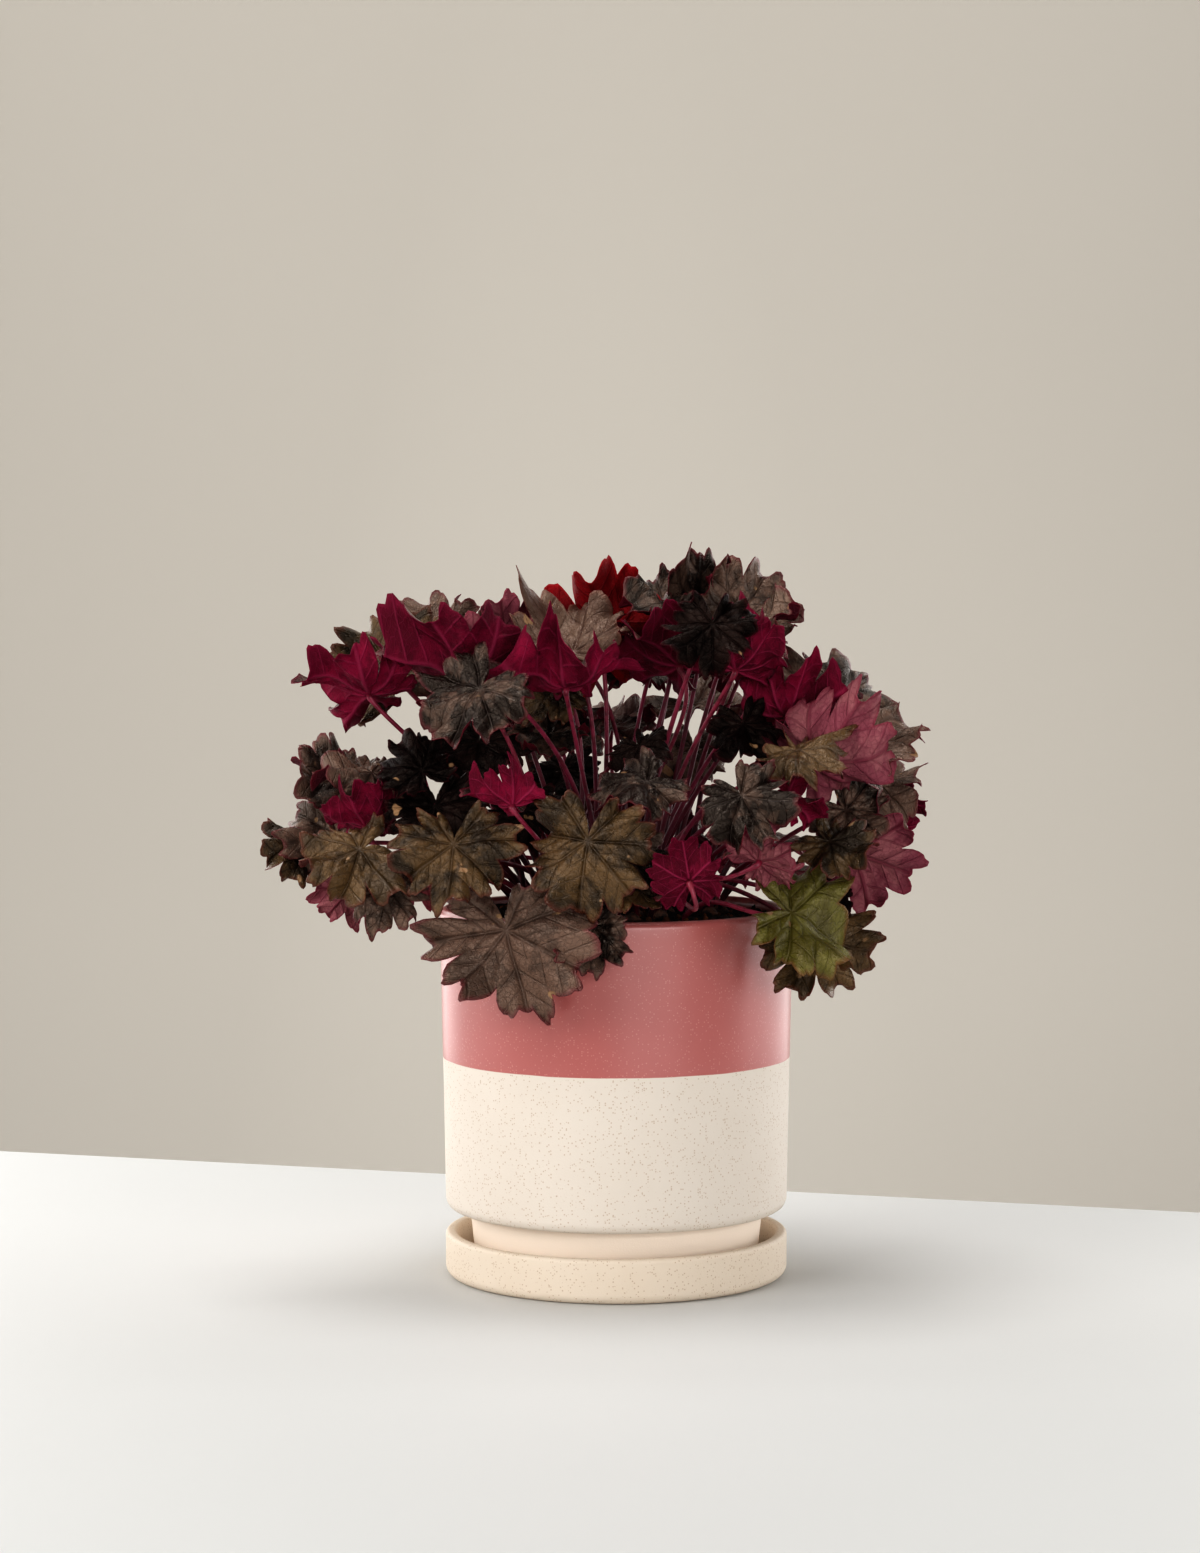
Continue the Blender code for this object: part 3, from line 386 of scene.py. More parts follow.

# Stalk, bark and soil: colours, patterns, and the strength and depth of each finish's bump
# The stalks' near-black colour at the soil is painted shade under the crown
STALK_SHADED_LOW = (0.014, 0.004, 0.006)
STALK_HIGH = (0.260, 0.014, 0.060)
STALK_PALE = (0.300, 0.060, 0.070)
STALK_STREAK = (0.120, 0.008, 0.022)
STALK_ROUGHNESS = 0.38
STALK_GRAIN_SCALE = 260.0
STALK_SHADE_FADE = (0.1, 0.95)
STREAK_FADE = (0.45, 0.70)
BARK_DARK = (0.030, 0.014, 0.010)
BARK_LIGHT = (0.130, 0.060, 0.035)
BARK_ROUGHNESS = 0.75
BARK_GRAIN_SCALE = 420.0
BARK_FADE = (0.35, 0.65)
EARTH_COLOURS = {
    "potting_soil": ((0.010, 0.007, 0.005), (0.060, 0.038, 0.024)),
    "bark_crumbs": ((0.060, 0.025, 0.012), (0.420, 0.150, 0.050)),
}
EARTH_ROUGHNESS = 0.9
EARTH_SPECULAR = 0.3
EARTH_GRAIN_SCALE = 700.0
EARTH_FADE = (0.35, 0.75)
LEAF_BUMP = (0.75, 0.0009)
STALK_BUMP = (0.3, 0.0003)
SHOOT_BUMP = (0.6, 0.0006)
SAUCER_BUMP = (0.25, 0.0003)
POT_BUMP = (0.22, 0.0003)
EARTH_BUMP = (0.9, 0.0012)

# Stoneware
PINK = (0.475, 0.152, 0.140)
PINK_DEEP = (0.450, 0.138, 0.127)
PINK_SPECK = (0.75, 0.45, 0.40)
CREAM = (0.735, 0.665, 0.590)
CREAM_DARK = (0.680, 0.600, 0.515)
# The foot's warm bare clay, painted much lighter than the cream body: painted fill light against the shade
# under the body's overhang
FOOT_TONE_AND_PAINTED_FILL = (0.920, 0.810, 0.700)
SAUCER_COLOUR = (0.760, 0.660, 0.550)
SAUCER_DARK = (0.710, 0.590, 0.465)
SPECK_COLOUR = (0.42, 0.27, 0.16)
STONE_GRAIN_SCALE = 1400.0
SPECK_SCALE = 1150.0
SPECK_CHOICE = (0.80, 0.86)
SPECK_FADE = (0.48, 0.30)
SPECK_PART = 0.55
GLAZE_SPECK_PART = 0.25
CLOUD_SCALE = 28.0
CLOUD_FADE = (0.3, 0.75)
CLOUD_PART = 0.35
PINK_CLOUD_SCALE = 16.0
PINK_CLOUD_FADE = (0.3, 0.7)
GLAZE_RIPPLE_SCALE = 210.0
WAVER_SCALE = 55.0
POT_SPECULAR = 0.75
GLAZE_WAVER = 0.0007
GLAZE_BLUR = 0.00012
FOOT_BLUR = 0.0015
BARE_ROUGHNESS = 0.62
GLAZE_ROUGHNESS = 0.33
GLAZE_COAT = 0.2
GLAZE_COAT_ROUGHNESS = 0.26

# Studio: two colours, roughness, specular level, and the scale and detail of the clouds; the table's back
# edge as the photograph shows it; the wall
TABLE_FINISH = ((0.635, 0.637, 0.627), (0.625, 0.627, 0.617), 0.55, 0.35, 9.0, 3.0)
WALL_FINISH = ((0.550, 0.515, 0.462), (0.536, 0.500, 0.448), 0.9, 0.1, 1.2, 2.0)
TABLE_BACK_LEFT = (-0.34, 0.345, 0.0)
TABLE_BACK_RIGHT = (0.306, 0.151, 0.0)
TABLE_REACH = 2.6
TABLE_DEPTH = 3.4
TABLE_LOW = -0.03
WALL_RING = ((-6.0, 2.6, 0.0), (6.0, 2.6, 0.0), (6.0, 2.7, 0.0), (-6.0, 2.7, 0.0))
WALL_HEIGHTS = (-2.0, 3.2)
BOX_FACES = np.array([(0, 3, 2, 1), (4, 5, 6, 7), (0, 1, 5, 4), (1, 2, 6, 5), (2, 3, 7, 6), (3, 0, 4, 7)])

# Lights: place, the point that each looks at, its sides, its power and its colour
WHITE = (1.0, 1.0, 1.0)
LIGHTS = {
    "key_left": ((-2.3, -1.75, 1.8), (0, 0, 0.15), (2.0, 2.0), 58.0, (1.0, 0.985, 0.965)),
    "side_left": ((-1.3, 0.65, 0.4), (0, 0, 0.12), (2.7, 1.2), 20.0, WHITE),
    "side_right": ((1.3, 0.72, 0.4), (0, 0, 0.12), (2.2, 1.2), 16.0, WHITE),
    "front": ((1.1, -2.8, 0.75), (0, 0, 0.1), (2.4, 1.3), 41.0, WHITE),
    "top": ((-0.2, -0.1, 2.6), (0, 0, 0.2), (1.2, 1.2), 30.0, (1.0, 0.99, 0.97)),
    "wall_above": ((0.0, 1.0, 2.4), (0.0, 2.6, 0.9), (3.0, 0.6), 20.5, WHITE),
    "wall_below": ((0.0, 1.1, -0.7), (0.0, 2.6, 0.2), (3.0, 0.6), 18.0, WHITE),
}
ROOM_COLOUR = (0.95, 0.94, 0.91)
ROOM_STRENGTH = 0.06
EXPOSURE = -0.30

# How near a solid's corner has to lie to where one of the tries would have put it
MATCH_GAP = 0.00003


def unit(vector):
    """The vector at length 1."""
    return vector / np.linalg.norm(vector)


# Forms that the solids share


def rounded_outline(corners):
    """Points of an outline whose corners (radius, height, rounding) become arcs."""
    points = []
    for i, (radius, height, rounding) in enumerate(corners):
        here = np.array((radius, height))
        if not rounding:
            points.append(here)
            continue
        way_in = unit(np.array(corners[i - 1][:2]) - here)
        way_out = unit(np.array(corners[(i + 1) % len(corners)][:2]) - here)
        half = math.acos(float(way_in @ way_out)) / 2
        centre = here + unit(way_in + way_out) * rounding / math.sin(half)
        start = here + way_in * rounding / math.tan(half) - centre
        end = here + way_out * rounding / math.tan(half) - centre
        begin = math.atan2(start[1], start[0])
        sweep = (math.atan2(end[1], end[0]) - begin + math.pi) % (2 * math.pi) - math.pi
        angles = begin + sweep * np.arange(ROUND_STEPS + 1) / ROUND_STEPS
        points += list(centre + rounding * np.column_stack([np.cos(angles), np.sin(angles)]))
    return points


def pot_inside():
    """Corners of the pot's inside, from its floor up to its rim."""
    floor = SAUCER_FLOOR + CLEARANCE + POT_FLOOR
    return [
        (POT_FOOT_RADIUS - POT_WALL, floor),
        (POT_LOW_RADIUS - POT_WALL, POT_BODY_LOW + POT_WALL),
        (POT_RADIUS - POT_WALL, POT_TOP),
    ]


def soil_height(x, y):
    """Height of the soil: a shallow dome with soft lumps, a little under the pot's rim."""
    inner = POT_RADIUS - POT_WALL
    dome = SOIL_DOME * (1 - (x**2 + y**2) / inner**2)
    across, along, slanted = SOIL_WAVES
    lumps = np.sin(x / across + 1.0) * np.cos(y / along) + 0.6 * np.sin((x - y) / slanted)
    return POT_TOP - SOIL_EDGE_DROP + dome + SOIL_LUMP * lumps


def smooth_step(value):
    """0 below 0 and 1 above 1, with a smooth rise between them."""
    value = np.clip(value, 0.0, 1.0)
    return value * value * (3 - 2 * value)


def closing(s):
    """1 over the blade, falling to 0 in the notch where the stalk comes in."""
    return smooth_step((NOTCH - np.abs(s)) / NOTCH_SPAN)


def outline_radius(leaf, s):
    """Distance from the stalk to the edge, for a middle lobe of length 1; s counts lobes from that one.

    The lobes get shorter towards the notch, each by its own factor, and between them the sinuses cut in,
    each to its own depth."""
    size = 1 - LOBE_FALL * (np.abs(s) / OUTER_LOBE) ** LOBE_FALL_POWER
    own = np.interp(s, LOBES, leaf["lobes"])
    depth = leaf["sinuses"][np.floor(s).astype(int) + OUTER_LOBE + 1]
    cuts = 1 - depth * (1 - np.abs(np.cos(math.pi * s)) ** SINUS_POWER)
    return size * own * cuts * (NOTCH_PART + (1 - NOTCH_PART) * closing(s))


def rolled(roll, y, height):
    """The blade's sides bent round the line of its middle vein, upwards where roll is positive."""
    radius = 1 / roll - height
    return radius * np.sin(roll * y), 1 / roll - radius * np.cos(roll * y)


def blade_height(leaf, x, y, r, s):
    """A cup that droops to the tip and folds along its middle, with waves that grow towards the edge:
    one that lifts some lobes and lowers others, and two slower ones round the blade."""
    theta = s * LOBE_TURN
    ruffle, swell, twist, phase, swell_phase, twist_phase = leaf["waves"]
    waves = ruffle * np.cos(2 * math.pi * leaf["turns"] * s + phase) * closing(s)
    waves += swell * np.cos(3 * theta + swell_phase) + twist * np.cos(2 * theta + twist_phase)
    height = (leaf["cup"] + waves) * r**2 - leaf["droop"] * np.maximum(x, 0) ** 2
    return height + leaf["fold"] * (np.sqrt(y**2 + FOLD_ROUND**2) - FOLD_ROUND)


def blade_places(leaf, x, y, height):
    """Where a blade's points lie once its sides are rolled and it stands on its own axes."""
    along, across, up = leaf["axes"]
    side, height = rolled(leaf["roll"], y, height)
    local = x[..., None] * along + side[..., None] * across + height[..., None] * up
    return leaf["joint"] + leaf["length"] * local


def blade_surface(leaf, rho, s):
    """The solid blade's middle surface at the part rho of the way out to the edge, in the direction s."""
    r = rho * outline_radius(leaf, s)
    x = r * np.cos(s * LOBE_TURN)
    y = r * np.sin(s * LOBE_TURN)
    return blade_places(leaf, x, y, blade_height(leaf, x, y, r, s))


def leaf_pose(row, root, number, attempt):
    """Where a leaf stands on one of its tries: the first keep its place and sway the stalk,
    the later ones also shift, turn and flatten the blade a little. A cupped leaf rolls its sides up."""
    _, joint, tip, face, cup, droop = row
    sway = np.random.default_rng([SEED, number, attempt]).uniform(-1, 1, 12)
    growth = attempt / TRIES
    stray = max(0.0, (attempt - STEADY_TRIES) / (TRIES - STEADY_TRIES))
    azimuth = math.radians(face[0] + stray * MOST_TURN * sway[6])
    elevation = math.radians(face[1] + stray * MOST_TURN * sway[7])
    looks = np.array((math.cos(azimuth), math.sin(azimuth), 0.0)) * math.cos(elevation)
    looks[2] = math.sin(elevation)
    shift = stray * (sway[0:3] * MOST_SHIFT + MOST_SHIFT_OUT * sway[3] * looks)
    joint = (np.array(joint, float) + shift) * MM
    tip = (np.array(tip, float) + shift) * MM
    length = float(np.linalg.norm(tip - joint))
    along = (tip - joint) / length
    length *= 1 - MOST_SHRINK * stray * abs(sway[4])
    up = unit(looks - (looks @ along) * along)
    draws = np.random.default_rng([SEED, number]).uniform(0, 1, LEAF_DRAWS)
    ease = 1 - MOST_EASE * stray
    waves = [ease * (least + span * draw) for (least, span), draw in zip((RUFFLE, SWELL, TWIST), draws)]
    roll = ease * (ROLL[0] + ROLL[1] * draws[22])
    lobes = LOBE_LENGTH[0] + LOBE_LENGTH[1] * draws[8:14]
    bends = np.array(((sway[8], sway[9], 0.0), (sway[10], sway[11], 0.3 * sway[9])))
    bends[0] *= LOW_BEND[0] + LOW_BEND[1] * growth
    bends[1] *= HIGH_BEND[0] + HIGH_BEND[1] * growth
    return {
        "joint": joint,
        "length": length,
        "axes": (along, np.cross(up, along), up),
        "cup": cup,
        "droop": droop,
        "fold": FOLD[0] + FOLD[1] * draws[6],
        "turns": RUFFLE_TURNS[0] + RUFFLE_TURNS[1] * draws[7],
        "sinuses": SINUS[0] + SINUS[1] * draws[14:22],
        "roll": roll if cup > CUPPED else -roll,
        "lobes": np.concatenate([lobes[:3], [1.0], lobes[3:]]),
        "waves": (*waves, *(2 * math.pi * draws[3:6])),
        "root": root,
        "bends": bends,
    }


def stalk_curve(leaf, t):
    """Points and directions of the stalk's curve, from the soil (t = 0) to the blade (t = 1)."""
    along, _, up = leaf["axes"]
    start = np.array(leaf["root"])
    end = leaf["joint"] - up * STALK_SEAT
    span = float(np.linalg.norm(end - start))
    leaving = unit((end - start) / span + (0.0, 0.0, STALK_RISE))
    arrival = unit(STALK_ARRIVAL[0] * along + STALK_ARRIVAL[1] * up)
    first = start + STALK_LOW_REACH * span * leaving + leaf["bends"][0]
    second = end - arrival * min(STALK_HIGH_REACH * span, STALK_HIGH_MOST) + leaf["bends"][1]
    t = t[:, None]
    points = (1 - t) ** 3 * start + 3 * (1 - t) ** 2 * t * first
    points += 3 * (1 - t) * t**2 * second + t**3 * end
    ways = (1 - t) ** 2 * (first - start) + 2 * (1 - t) * t * (second - first) + t**2 * (end - second)
    return points, ways / np.linalg.norm(ways, axis=1)[:, None]


def edge_directions():
    """The directions of the solid's edge: the sinuses and two shoulders of each lobe, and the middle tip."""
    sinuses = [*(LOBES - 0.5), OUTER_LOBE + 0.5]
    return np.array([-NOTCH, *sinuses, *(LOBES - SHOULDER), *(LOBES + SHOULDER), 0.0])


def back_shoots():
    """The far side's shoots, spread round it by the golden ratio."""
    draw = np.random.default_rng(SEED)
    shoots = []
    for number in range(BACK_SHOOTS):
        turn = BACK_FROM + (BACK_TO - BACK_FROM) * (number * GOLDEN_PART % 1)
        shoot = []
        for side, tier in zip((-1, 1), BACK_TIERS):
            way = turn + side * BACK_PART
            stray = draw.uniform(-1, 1, 3) * BACK_STRAY
            rise = math.radians(tier["rise"] + stray[2])
            out = np.array((math.cos(way), math.sin(way), 0.0))
            joint = out * (tier["reach"] + stray[0]) + (0, 0, tier["height"] + stray[1])
            reach = out * math.cos(rise) + (0, 0, math.sin(rise))
            tip = joint + reach * draw.uniform(*BACK_LENGTH)
            face = (math.degrees(way), BACK_FACE + stray[2])
            colour = tier["colours"][number % len(tier["colours"])]
            shoot.append((colour, tuple(joint), tuple(tip), face, BACK_CUP, BACK_DROOP))
        shoots.append(shoot)
    return shoots


def root_places(shoots):
    """A place in the soil for each shoot: the free point of a spiral that lies nearest its leaves' side."""
    number = np.arange(len(shoots))
    radius = ROOT_SPREAD * np.sqrt((number + 0.5) / len(shoots))
    turn = number * math.pi * (3 - math.sqrt(5))
    free = list(np.column_stack([radius * np.cos(turn), radius * np.sin(turn)]))
    places = []
    for shoot in shoots:
        reach = np.mean([row[1] for row in shoot], axis=0) * MM - (0, 0, POT_TOP)
        wanted = unit(reach)[:2] * ROOT_SPREAD
        nearest = min(range(len(free)), key=lambda i: float(np.linalg.norm(free[i] - wanted)))
        places.append(free.pop(nearest))
    return places


def shoot_roots(shoot, place):
    """Where the stalks of a shoot leave it: one in its middle, or two side by side."""
    if len(shoot) == 1:
        return [(*place, soil_height(*place) + ROOT_RISE)], HOLE_DEPTH + ROOT_RISE - CLEARANCE
    out = unit(np.mean([row[1][:2] for row in shoot], axis=0))
    side = np.array((-out[1], out[0])) * MATE_SPACING
    if (np.array(shoot[0][1][:2]) @ side) < (np.array(shoot[1][1][:2]) @ side):
        side = -side
    height = soil_height(*place) + SHOOT_RISE + ROOT_RISE
    return [(*(place + side), height), (*(place - side), height)], SHOOT_RISE + ROOT_RISE + MATE_SINK


# Faces


def grid_faces(rows, columns, first=0, flip=False):
    """Quads of a grid of points whose columns close up into rings."""
    row, column = np.meshgrid(np.arange(rows - 1), np.arange(columns), indexing="ij")
    after = (column + 1) % columns
    here = row * columns
    there = here + columns
    quads = np.stack([here + column, there + column, there + after, here + after], axis=-1)
    quads = quads.reshape(-1, 4) + first
    return quads[:, ::-1] if flip else quads


def fan_faces(centre, first, columns, flip=False):
    """Triangles from a middle point to a ring."""
    column = np.arange(columns)
    after = (column + 1) % columns
    fan = np.stack([np.full(columns, centre), first + column, first + after], axis=-1)
    return fan[:, ::-1] if flip else fan


def capped_faces(rows, columns, flip=True):
    """Faces of a stack of rings that a middle point closes at its start and another at its end."""
    count = rows * columns
    start = fan_faces(count, 0, columns, flip)
    end = fan_faces(count + 1, count - columns, columns, not flip)
    return [grid_faces(rows, columns, flip=flip), start, end]


def ring_points(radius, height, columns):
    """Points of rings round Z, one ring for each row of radius and height."""
    turn = np.linspace(0, 2 * math.pi, columns, endpoint=False)
    return np.stack(np.broadcast_arrays(radius * np.cos(turn), radius * np.sin(turn), height), axis=-1)


# Fine leaf


def blade_directions():
    """Directions of the fine blade's columns: TOOTH_SAMPLES to each tooth, and a few across the notch."""
    step = 1.0 / (TEETH * TOOTH_SAMPLES)
    reach = OUTER_LOBE + 0.5
    lobes = np.arange(-reach, reach + step / 2, step)
    side = reach + (NOTCH - reach) * np.arange(1, NOTCH_SAMPLES) / NOTCH_SAMPLES
    return np.concatenate([[-NOTCH], -side[::-1], lobes, side])


def leaf_detail(number):
    """What the fine blade adds to a leaf's form: the size of each tooth, how far each lobe lifts and
    curls, the phases of the ripples, the waves of the bulges, and where its patterns lie."""
    draw = np.random.default_rng([SEED, number, FINE_DRAWS])
    return {
        "teeth": draw.uniform(*TOOTH_DEPTH, TEETH * 8),
        "lifts": draw.uniform(-1, 1, len(LOBES)) * LOBE_LIFT,
        "curls": draw.uniform(-1, 1, len(LOBES)) * LOBE_CURL,
        "phases": draw.uniform(0, 2 * math.pi, 4),
        "bulges": np.column_stack(
            [draw.uniform(*BULGE_WAVES, BULGES), draw.uniform(0, 2 * math.pi, (BULGES, 2))]
        ),
        "shade": draw.uniform(),
        "offset": draw.uniform(0, PATTERN_SPREAD, 2),
    }


def fine_outline(leaf, detail, s):
    """The solid's outline with TEETH teeth on each lobe: its lobes' tips are blunter, their shoulders and
    the sinuses between them fuller, and it closes over the notch."""
    edge = outline_radius(leaf, s)
    ends = outline_radius(leaf, np.array([-NOTCH, NOTCH]))
    edge = edge + np.where(s > 0, (ends[0] - ends[1]) * (1 - closing(s)), 0.0)
    count = TEETH * s + 0.5
    tooth = np.abs(np.sin(math.pi * count)) ** TOOTH_POWER
    size = detail["teeth"][np.clip(np.floor(count).astype(int) + TEETH * 4, 0, TEETH * 8 - 1)]
    rounding = SHOULDER_SWELL * np.sin(2 * math.pi * s) ** 2 - BLUNT * np.cos(math.pi * s) ** 4
    rounding += SINUS_FILL * (1 - np.abs(np.cos(math.pi * s)) ** SINUS_POWER)
    return LEAF_SWELL * edge * (1 + closing(s) * (size * tooth - TOOTH_DEPTH[0] + rounding))


def vein_places(r, s):
    """How far along its lobe's main vein a point lies, and how far to the side of it."""
    turn = (s - np.clip(np.round(s), -OUTER_LOBE, OUTER_LOBE)) * LOBE_TURN
    return r * np.cos(turn), r * np.abs(np.sin(turn))


def fine_surface(leaf, detail, rho, s):
    """The solid's blade surface with each lobe lifted and curled a little of its own, ripples that grow
    towards the edge, bulges as three slow waves across it, a groove along every main vein and a pucker
    between the side veins. Its sides are then rolled as the solid's are."""
    theta = s * LOBE_TURN
    r = rho * fine_outline(leaf, detail, s)
    x = r * np.cos(theta)
    y = r * np.sin(theta)
    height = blade_height(leaf, x, y, r, s)
    lift = np.interp(s, LOBES, detail["lifts"])
    curl = np.interp(s, LOBES, detail["curls"]) * np.sin(math.pi * s) ** 2
    phases = detail["phases"]
    ripples = RIPPLE * np.sin(2 * math.pi * RIPPLE_TURNS * s + phases[0]) * rho**4
    ripples += FINE_RIPPLE * np.sin(2 * math.pi * FINE_RIPPLE_TURNS * s + phases[1]) * rho**6
    height += closing(s) * (lift * r**3 + curl * r**2 + ripples * r)
    for wave, way, phase in detail["bulges"]:
        across = wave * (x * math.cos(way) + y * math.sin(way))
        height += BULGE * np.sin(across + phase) * smooth_step(r / BULGE_FULL)
    u, v = vein_places(r, s)
    groove = np.exp(-((v / VEIN_WIDTH) ** 2)) * smooth_step(r / VEIN_FULL)
    height -= VEIN_DEPTH * groove * (1 - GROOVE_FADE * rho)
    pucker = np.abs(np.sin(math.pi * (u - SIDE_VEIN_LEAN * v) / SIDE_VEIN_STEP)) * (1 - rho**6)
    height += PUCKER * pucker * smooth_step(v / PUCKER_BESIDE) * smooth_step(r / PUCKER_FULL)
    return blade_places(leaf, x, y, height), x, y, u, v


def blade_arrays(leaf, detail):
    """Points, faces and pattern values of a blade: two faces of a grid of rings, joined round the edge.

    The half thickness thins towards the edge, and lies along the middle surface's own normals."""
    s = blade_directions()
    columns = len(s)
    rows = len(RING_PARTS)
    count = rows * columns
    rho, turn = np.meshgrid(RING_PARTS, s, indexing="ij")
    middle, x, y, u, v = fine_surface(leaf, detail, rho, turn)
    outward = np.gradient(middle, RING_PARTS, axis=0)
    round_way = np.roll(middle, -1, axis=1) - np.roll(middle, 1, axis=1)
    normal = np.cross(outward, round_way)
    normal /= np.linalg.norm(normal, axis=2)[..., None]
    shift = normal * (BLADE_THICK / 2 * (1 - EDGE_THIN * rho**4))[..., None]
    pole = leaf["joint"] + np.outer((1, -1), unit(normal[0].mean(axis=0)) * BLADE_THICK / 2)
    points = np.vstack([(middle + shift).reshape(-1, 3), (middle - shift).reshape(-1, 3), pole])
    rim = grid_faces(2, columns)
    rim = np.where(rim >= columns, rim + count + (rows - 2) * columns, rim + (rows - 1) * columns)
    upper = [grid_faces(rows, columns), fan_faces(2 * count, 0, columns)]
    under = [grid_faces(rows, columns, count, True), rim, fan_faces(2 * count + 1, count, columns, True)]
    flat = np.stack([x, y], axis=-1).reshape(-1, 2) * leaf["length"]
    places = np.stack([u, v, rho], axis=-1).reshape(-1, 3)
    flat = np.vstack([flat, flat, np.zeros((2, 2))]) + detail["offset"]
    return points, upper, under, flat, np.vstack([places, places, np.zeros((2, 3))])


def stalk_arrays(leaf, sink):
    """A leaf's stalk: rings across its curve, thicker at its foot and flared where it meets the blade."""
    t = np.linspace(0, 1, STALK_ROWS)
    points, ways = stalk_curve(leaf, t)
    up = leaf["axes"][2]
    end = leaf["joint"] - up * BLADE_THICK * STALK_END_DEPTH
    points = np.vstack([points[0] - (0.0, 0.0, sink), points, end])
    ways = np.vstack([(0.0, 0.0, 1.0), ways, unit(STALK_END_LEAN * ways[-1] + up)])
    radii = STALK_FOOT_PART - (STALK_FOOT_PART - STALK_NECK_PART) * smooth_step(t * STALK_TAPER)
    radii = STALK_RADIUS * radii * (1 + STALK_FLARE * smooth_step((t - FLARE_FROM) / FLARE_SPAN))
    radii = np.concatenate([radii[:1], radii, radii[-1:] * STALK_END])
    turn = 2 * math.pi * np.arange(STALK_FINE_SIDES)[:, None] / STALK_FINE_SIDES
    side = np.array((1.0, 0.0, 0.0))
    rings = []
    for point, way, radius in zip(points, ways, radii):
        side = unit(side - (side @ way) * way)
        rings.append(point + radius * (np.cos(turn) * side + np.sin(turn) * np.cross(way, side)))
    return np.vstack([*rings, points[:1], points[-1:]]), capped_faces(len(points), STALK_FINE_SIDES)


def stub_arrays(place):
    """The woody shoot that carries two leaves: a short cylinder with ringed scars and twisted knobs."""
    low = soil_height(*place) - HOLE_DEPTH / 3
    high = soil_height(*place) + SHOOT_RISE
    rise = np.linspace(0, 1, STUB_ROWS)[:, None]
    turn = np.linspace(0, 2 * math.pi, STUB_SIDES, endpoint=False)
    radius = SHOOT_RADIUS + (SHOOT_TOP_RADIUS - SHOOT_RADIUS) * rise
    radius = radius * (1 - STUB_RING_DEPTH * np.abs(np.sin(STUB_RINGS * math.pi * rise)))
    radius = radius * (1 - STUB_CROWN_PART * smooth_step((rise - 1 + STUB_CROWN) / STUB_CROWN))
    knobs = 1 - STUB_KNOB * (1 + np.sin(STUB_KNOBS * turn + STUB_KNOB_TWIST * rise))
    rings = ring_points(radius * knobs, low + (high - low) * rise, STUB_SIDES) + (*place, 0.0)
    points = np.vstack([rings.reshape(-1, 3), (*place, low), (*place, high)])
    return points, capped_faces(STUB_ROWS, STUB_SIDES)


# Meshes


def new_mesh(name, points, parts, flat=None, places=None, shades=None):
    """A smooth mesh object from an array of points and a list of (face array, material number)."""
    mesh = bpy.data.meshes.new(name)
    mesh.vertices.add(len(points))
    mesh.vertices.foreach_set("co", np.asarray(points, np.float32).ravel())
    corners = np.concatenate([faces.ravel() for faces, _ in parts]).astype(np.int32)
    sizes = np.concatenate([np.full(len(faces), faces.shape[1]) for faces, _ in parts])
    slots = np.concatenate([np.full(len(faces), slot) for faces, slot in parts])
    mesh.loops.add(len(corners))
    mesh.loops.foreach_set("vertex_index", corners)
    mesh.polygons.add(len(sizes))
    mesh.polygons.foreach_set("loop_start", (np.cumsum(sizes) - sizes).astype(np.int32))
    mesh.polygons.foreach_set("material_index", slots.astype(np.int32))
    mesh.polygons.foreach_set("use_smooth", np.ones(len(sizes), bool))
    if flat is not None:
        layer = mesh.uv_layers.new(name="blade")
        layer.data.foreach_set("uv", np.asarray(flat, np.float32)[corners].ravel())
        layer = mesh.attributes.new("vein", "FLOAT_VECTOR", "POINT")
        layer.data.foreach_set("vector", np.asarray(places, np.float32).ravel())
        layer = mesh.attributes.new("shade", "FLOAT", "POINT")
        layer.data.foreach_set("value", np.asarray(shades, np.float32))
    mesh.update(calc_edges=True)
    mesh.validate()
    obj = bpy.data.objects.new(name, mesh)
    bpy.context.scene.collection.objects.link(obj)
    return obj


def join_arrays(blocks):
    """One set of arrays from several (points, parts, flat, places, shades)."""
    points, parts, flat, places, shades = zip(*blocks)
    first = np.cumsum([0, *map(len, points)])
    joined = [(faces + start, slot) for start, block in zip(first, parts) for faces, slot in block]
    return np.vstack(points), joined, np.vstack(flat), np.vstack(places), np.concatenate(shades)


def plain_block(points, faces, slot, shade):
    """A block whose pattern values are its height part and nothing else."""
    count = len(points)
    places = np.zeros((count, 3))
    places[:, 0] = (points[:, 2] - points[:, 2].min()) / np.ptp(points[:, 2])
    return points, [(part, slot) for part in faces], np.zeros((count, 2)), places, np.full(count, shade)


def set_piece(name, node, slot, materials, *arrays):
    """A new piece with its finishes, riding on the root, with the solid that it takes the place of hidden.
    The slot is not used.
    """
    obj = new_mesh(name, *arrays)
    for material in materials:
        obj.data.materials.append(material)
    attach(obj, "root")
    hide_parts(node)


# Leaves


def stands_as(leaf, corners):
    """Whether a solid's corners lie half a blade's thickness from this leaf's edge, and a stalk's radius
    from its stalk's curve."""
    edge = edge_directions()
    rim = blade_surface(leaf, np.ones(len(edge)), edge)
    stalk, _ = stalk_curve(leaf, np.arange(1, STALK_SPANS) / STALK_SPANS)
    wanted = np.repeat([BLADE_THICK / 2, STALK_RADIUS], [len(rim), len(stalk)])
    away = ((np.vstack([rim, stalk])[:, None] - corners[None]) ** 2).sum(axis=2).min(axis=1)
    return np.abs(np.sqrt(away) - wanted).max() < MATCH_GAP


def solid_corners(node):
    """The places of a solid's corners, each of them once."""
    mesh = NODES[node].data
    points = np.empty(len(mesh.vertices) * 3, np.float32)
    mesh.vertices.foreach_get("co", points)
    return np.unique(points.reshape(-1, 3).round(6), axis=0).astype(float)


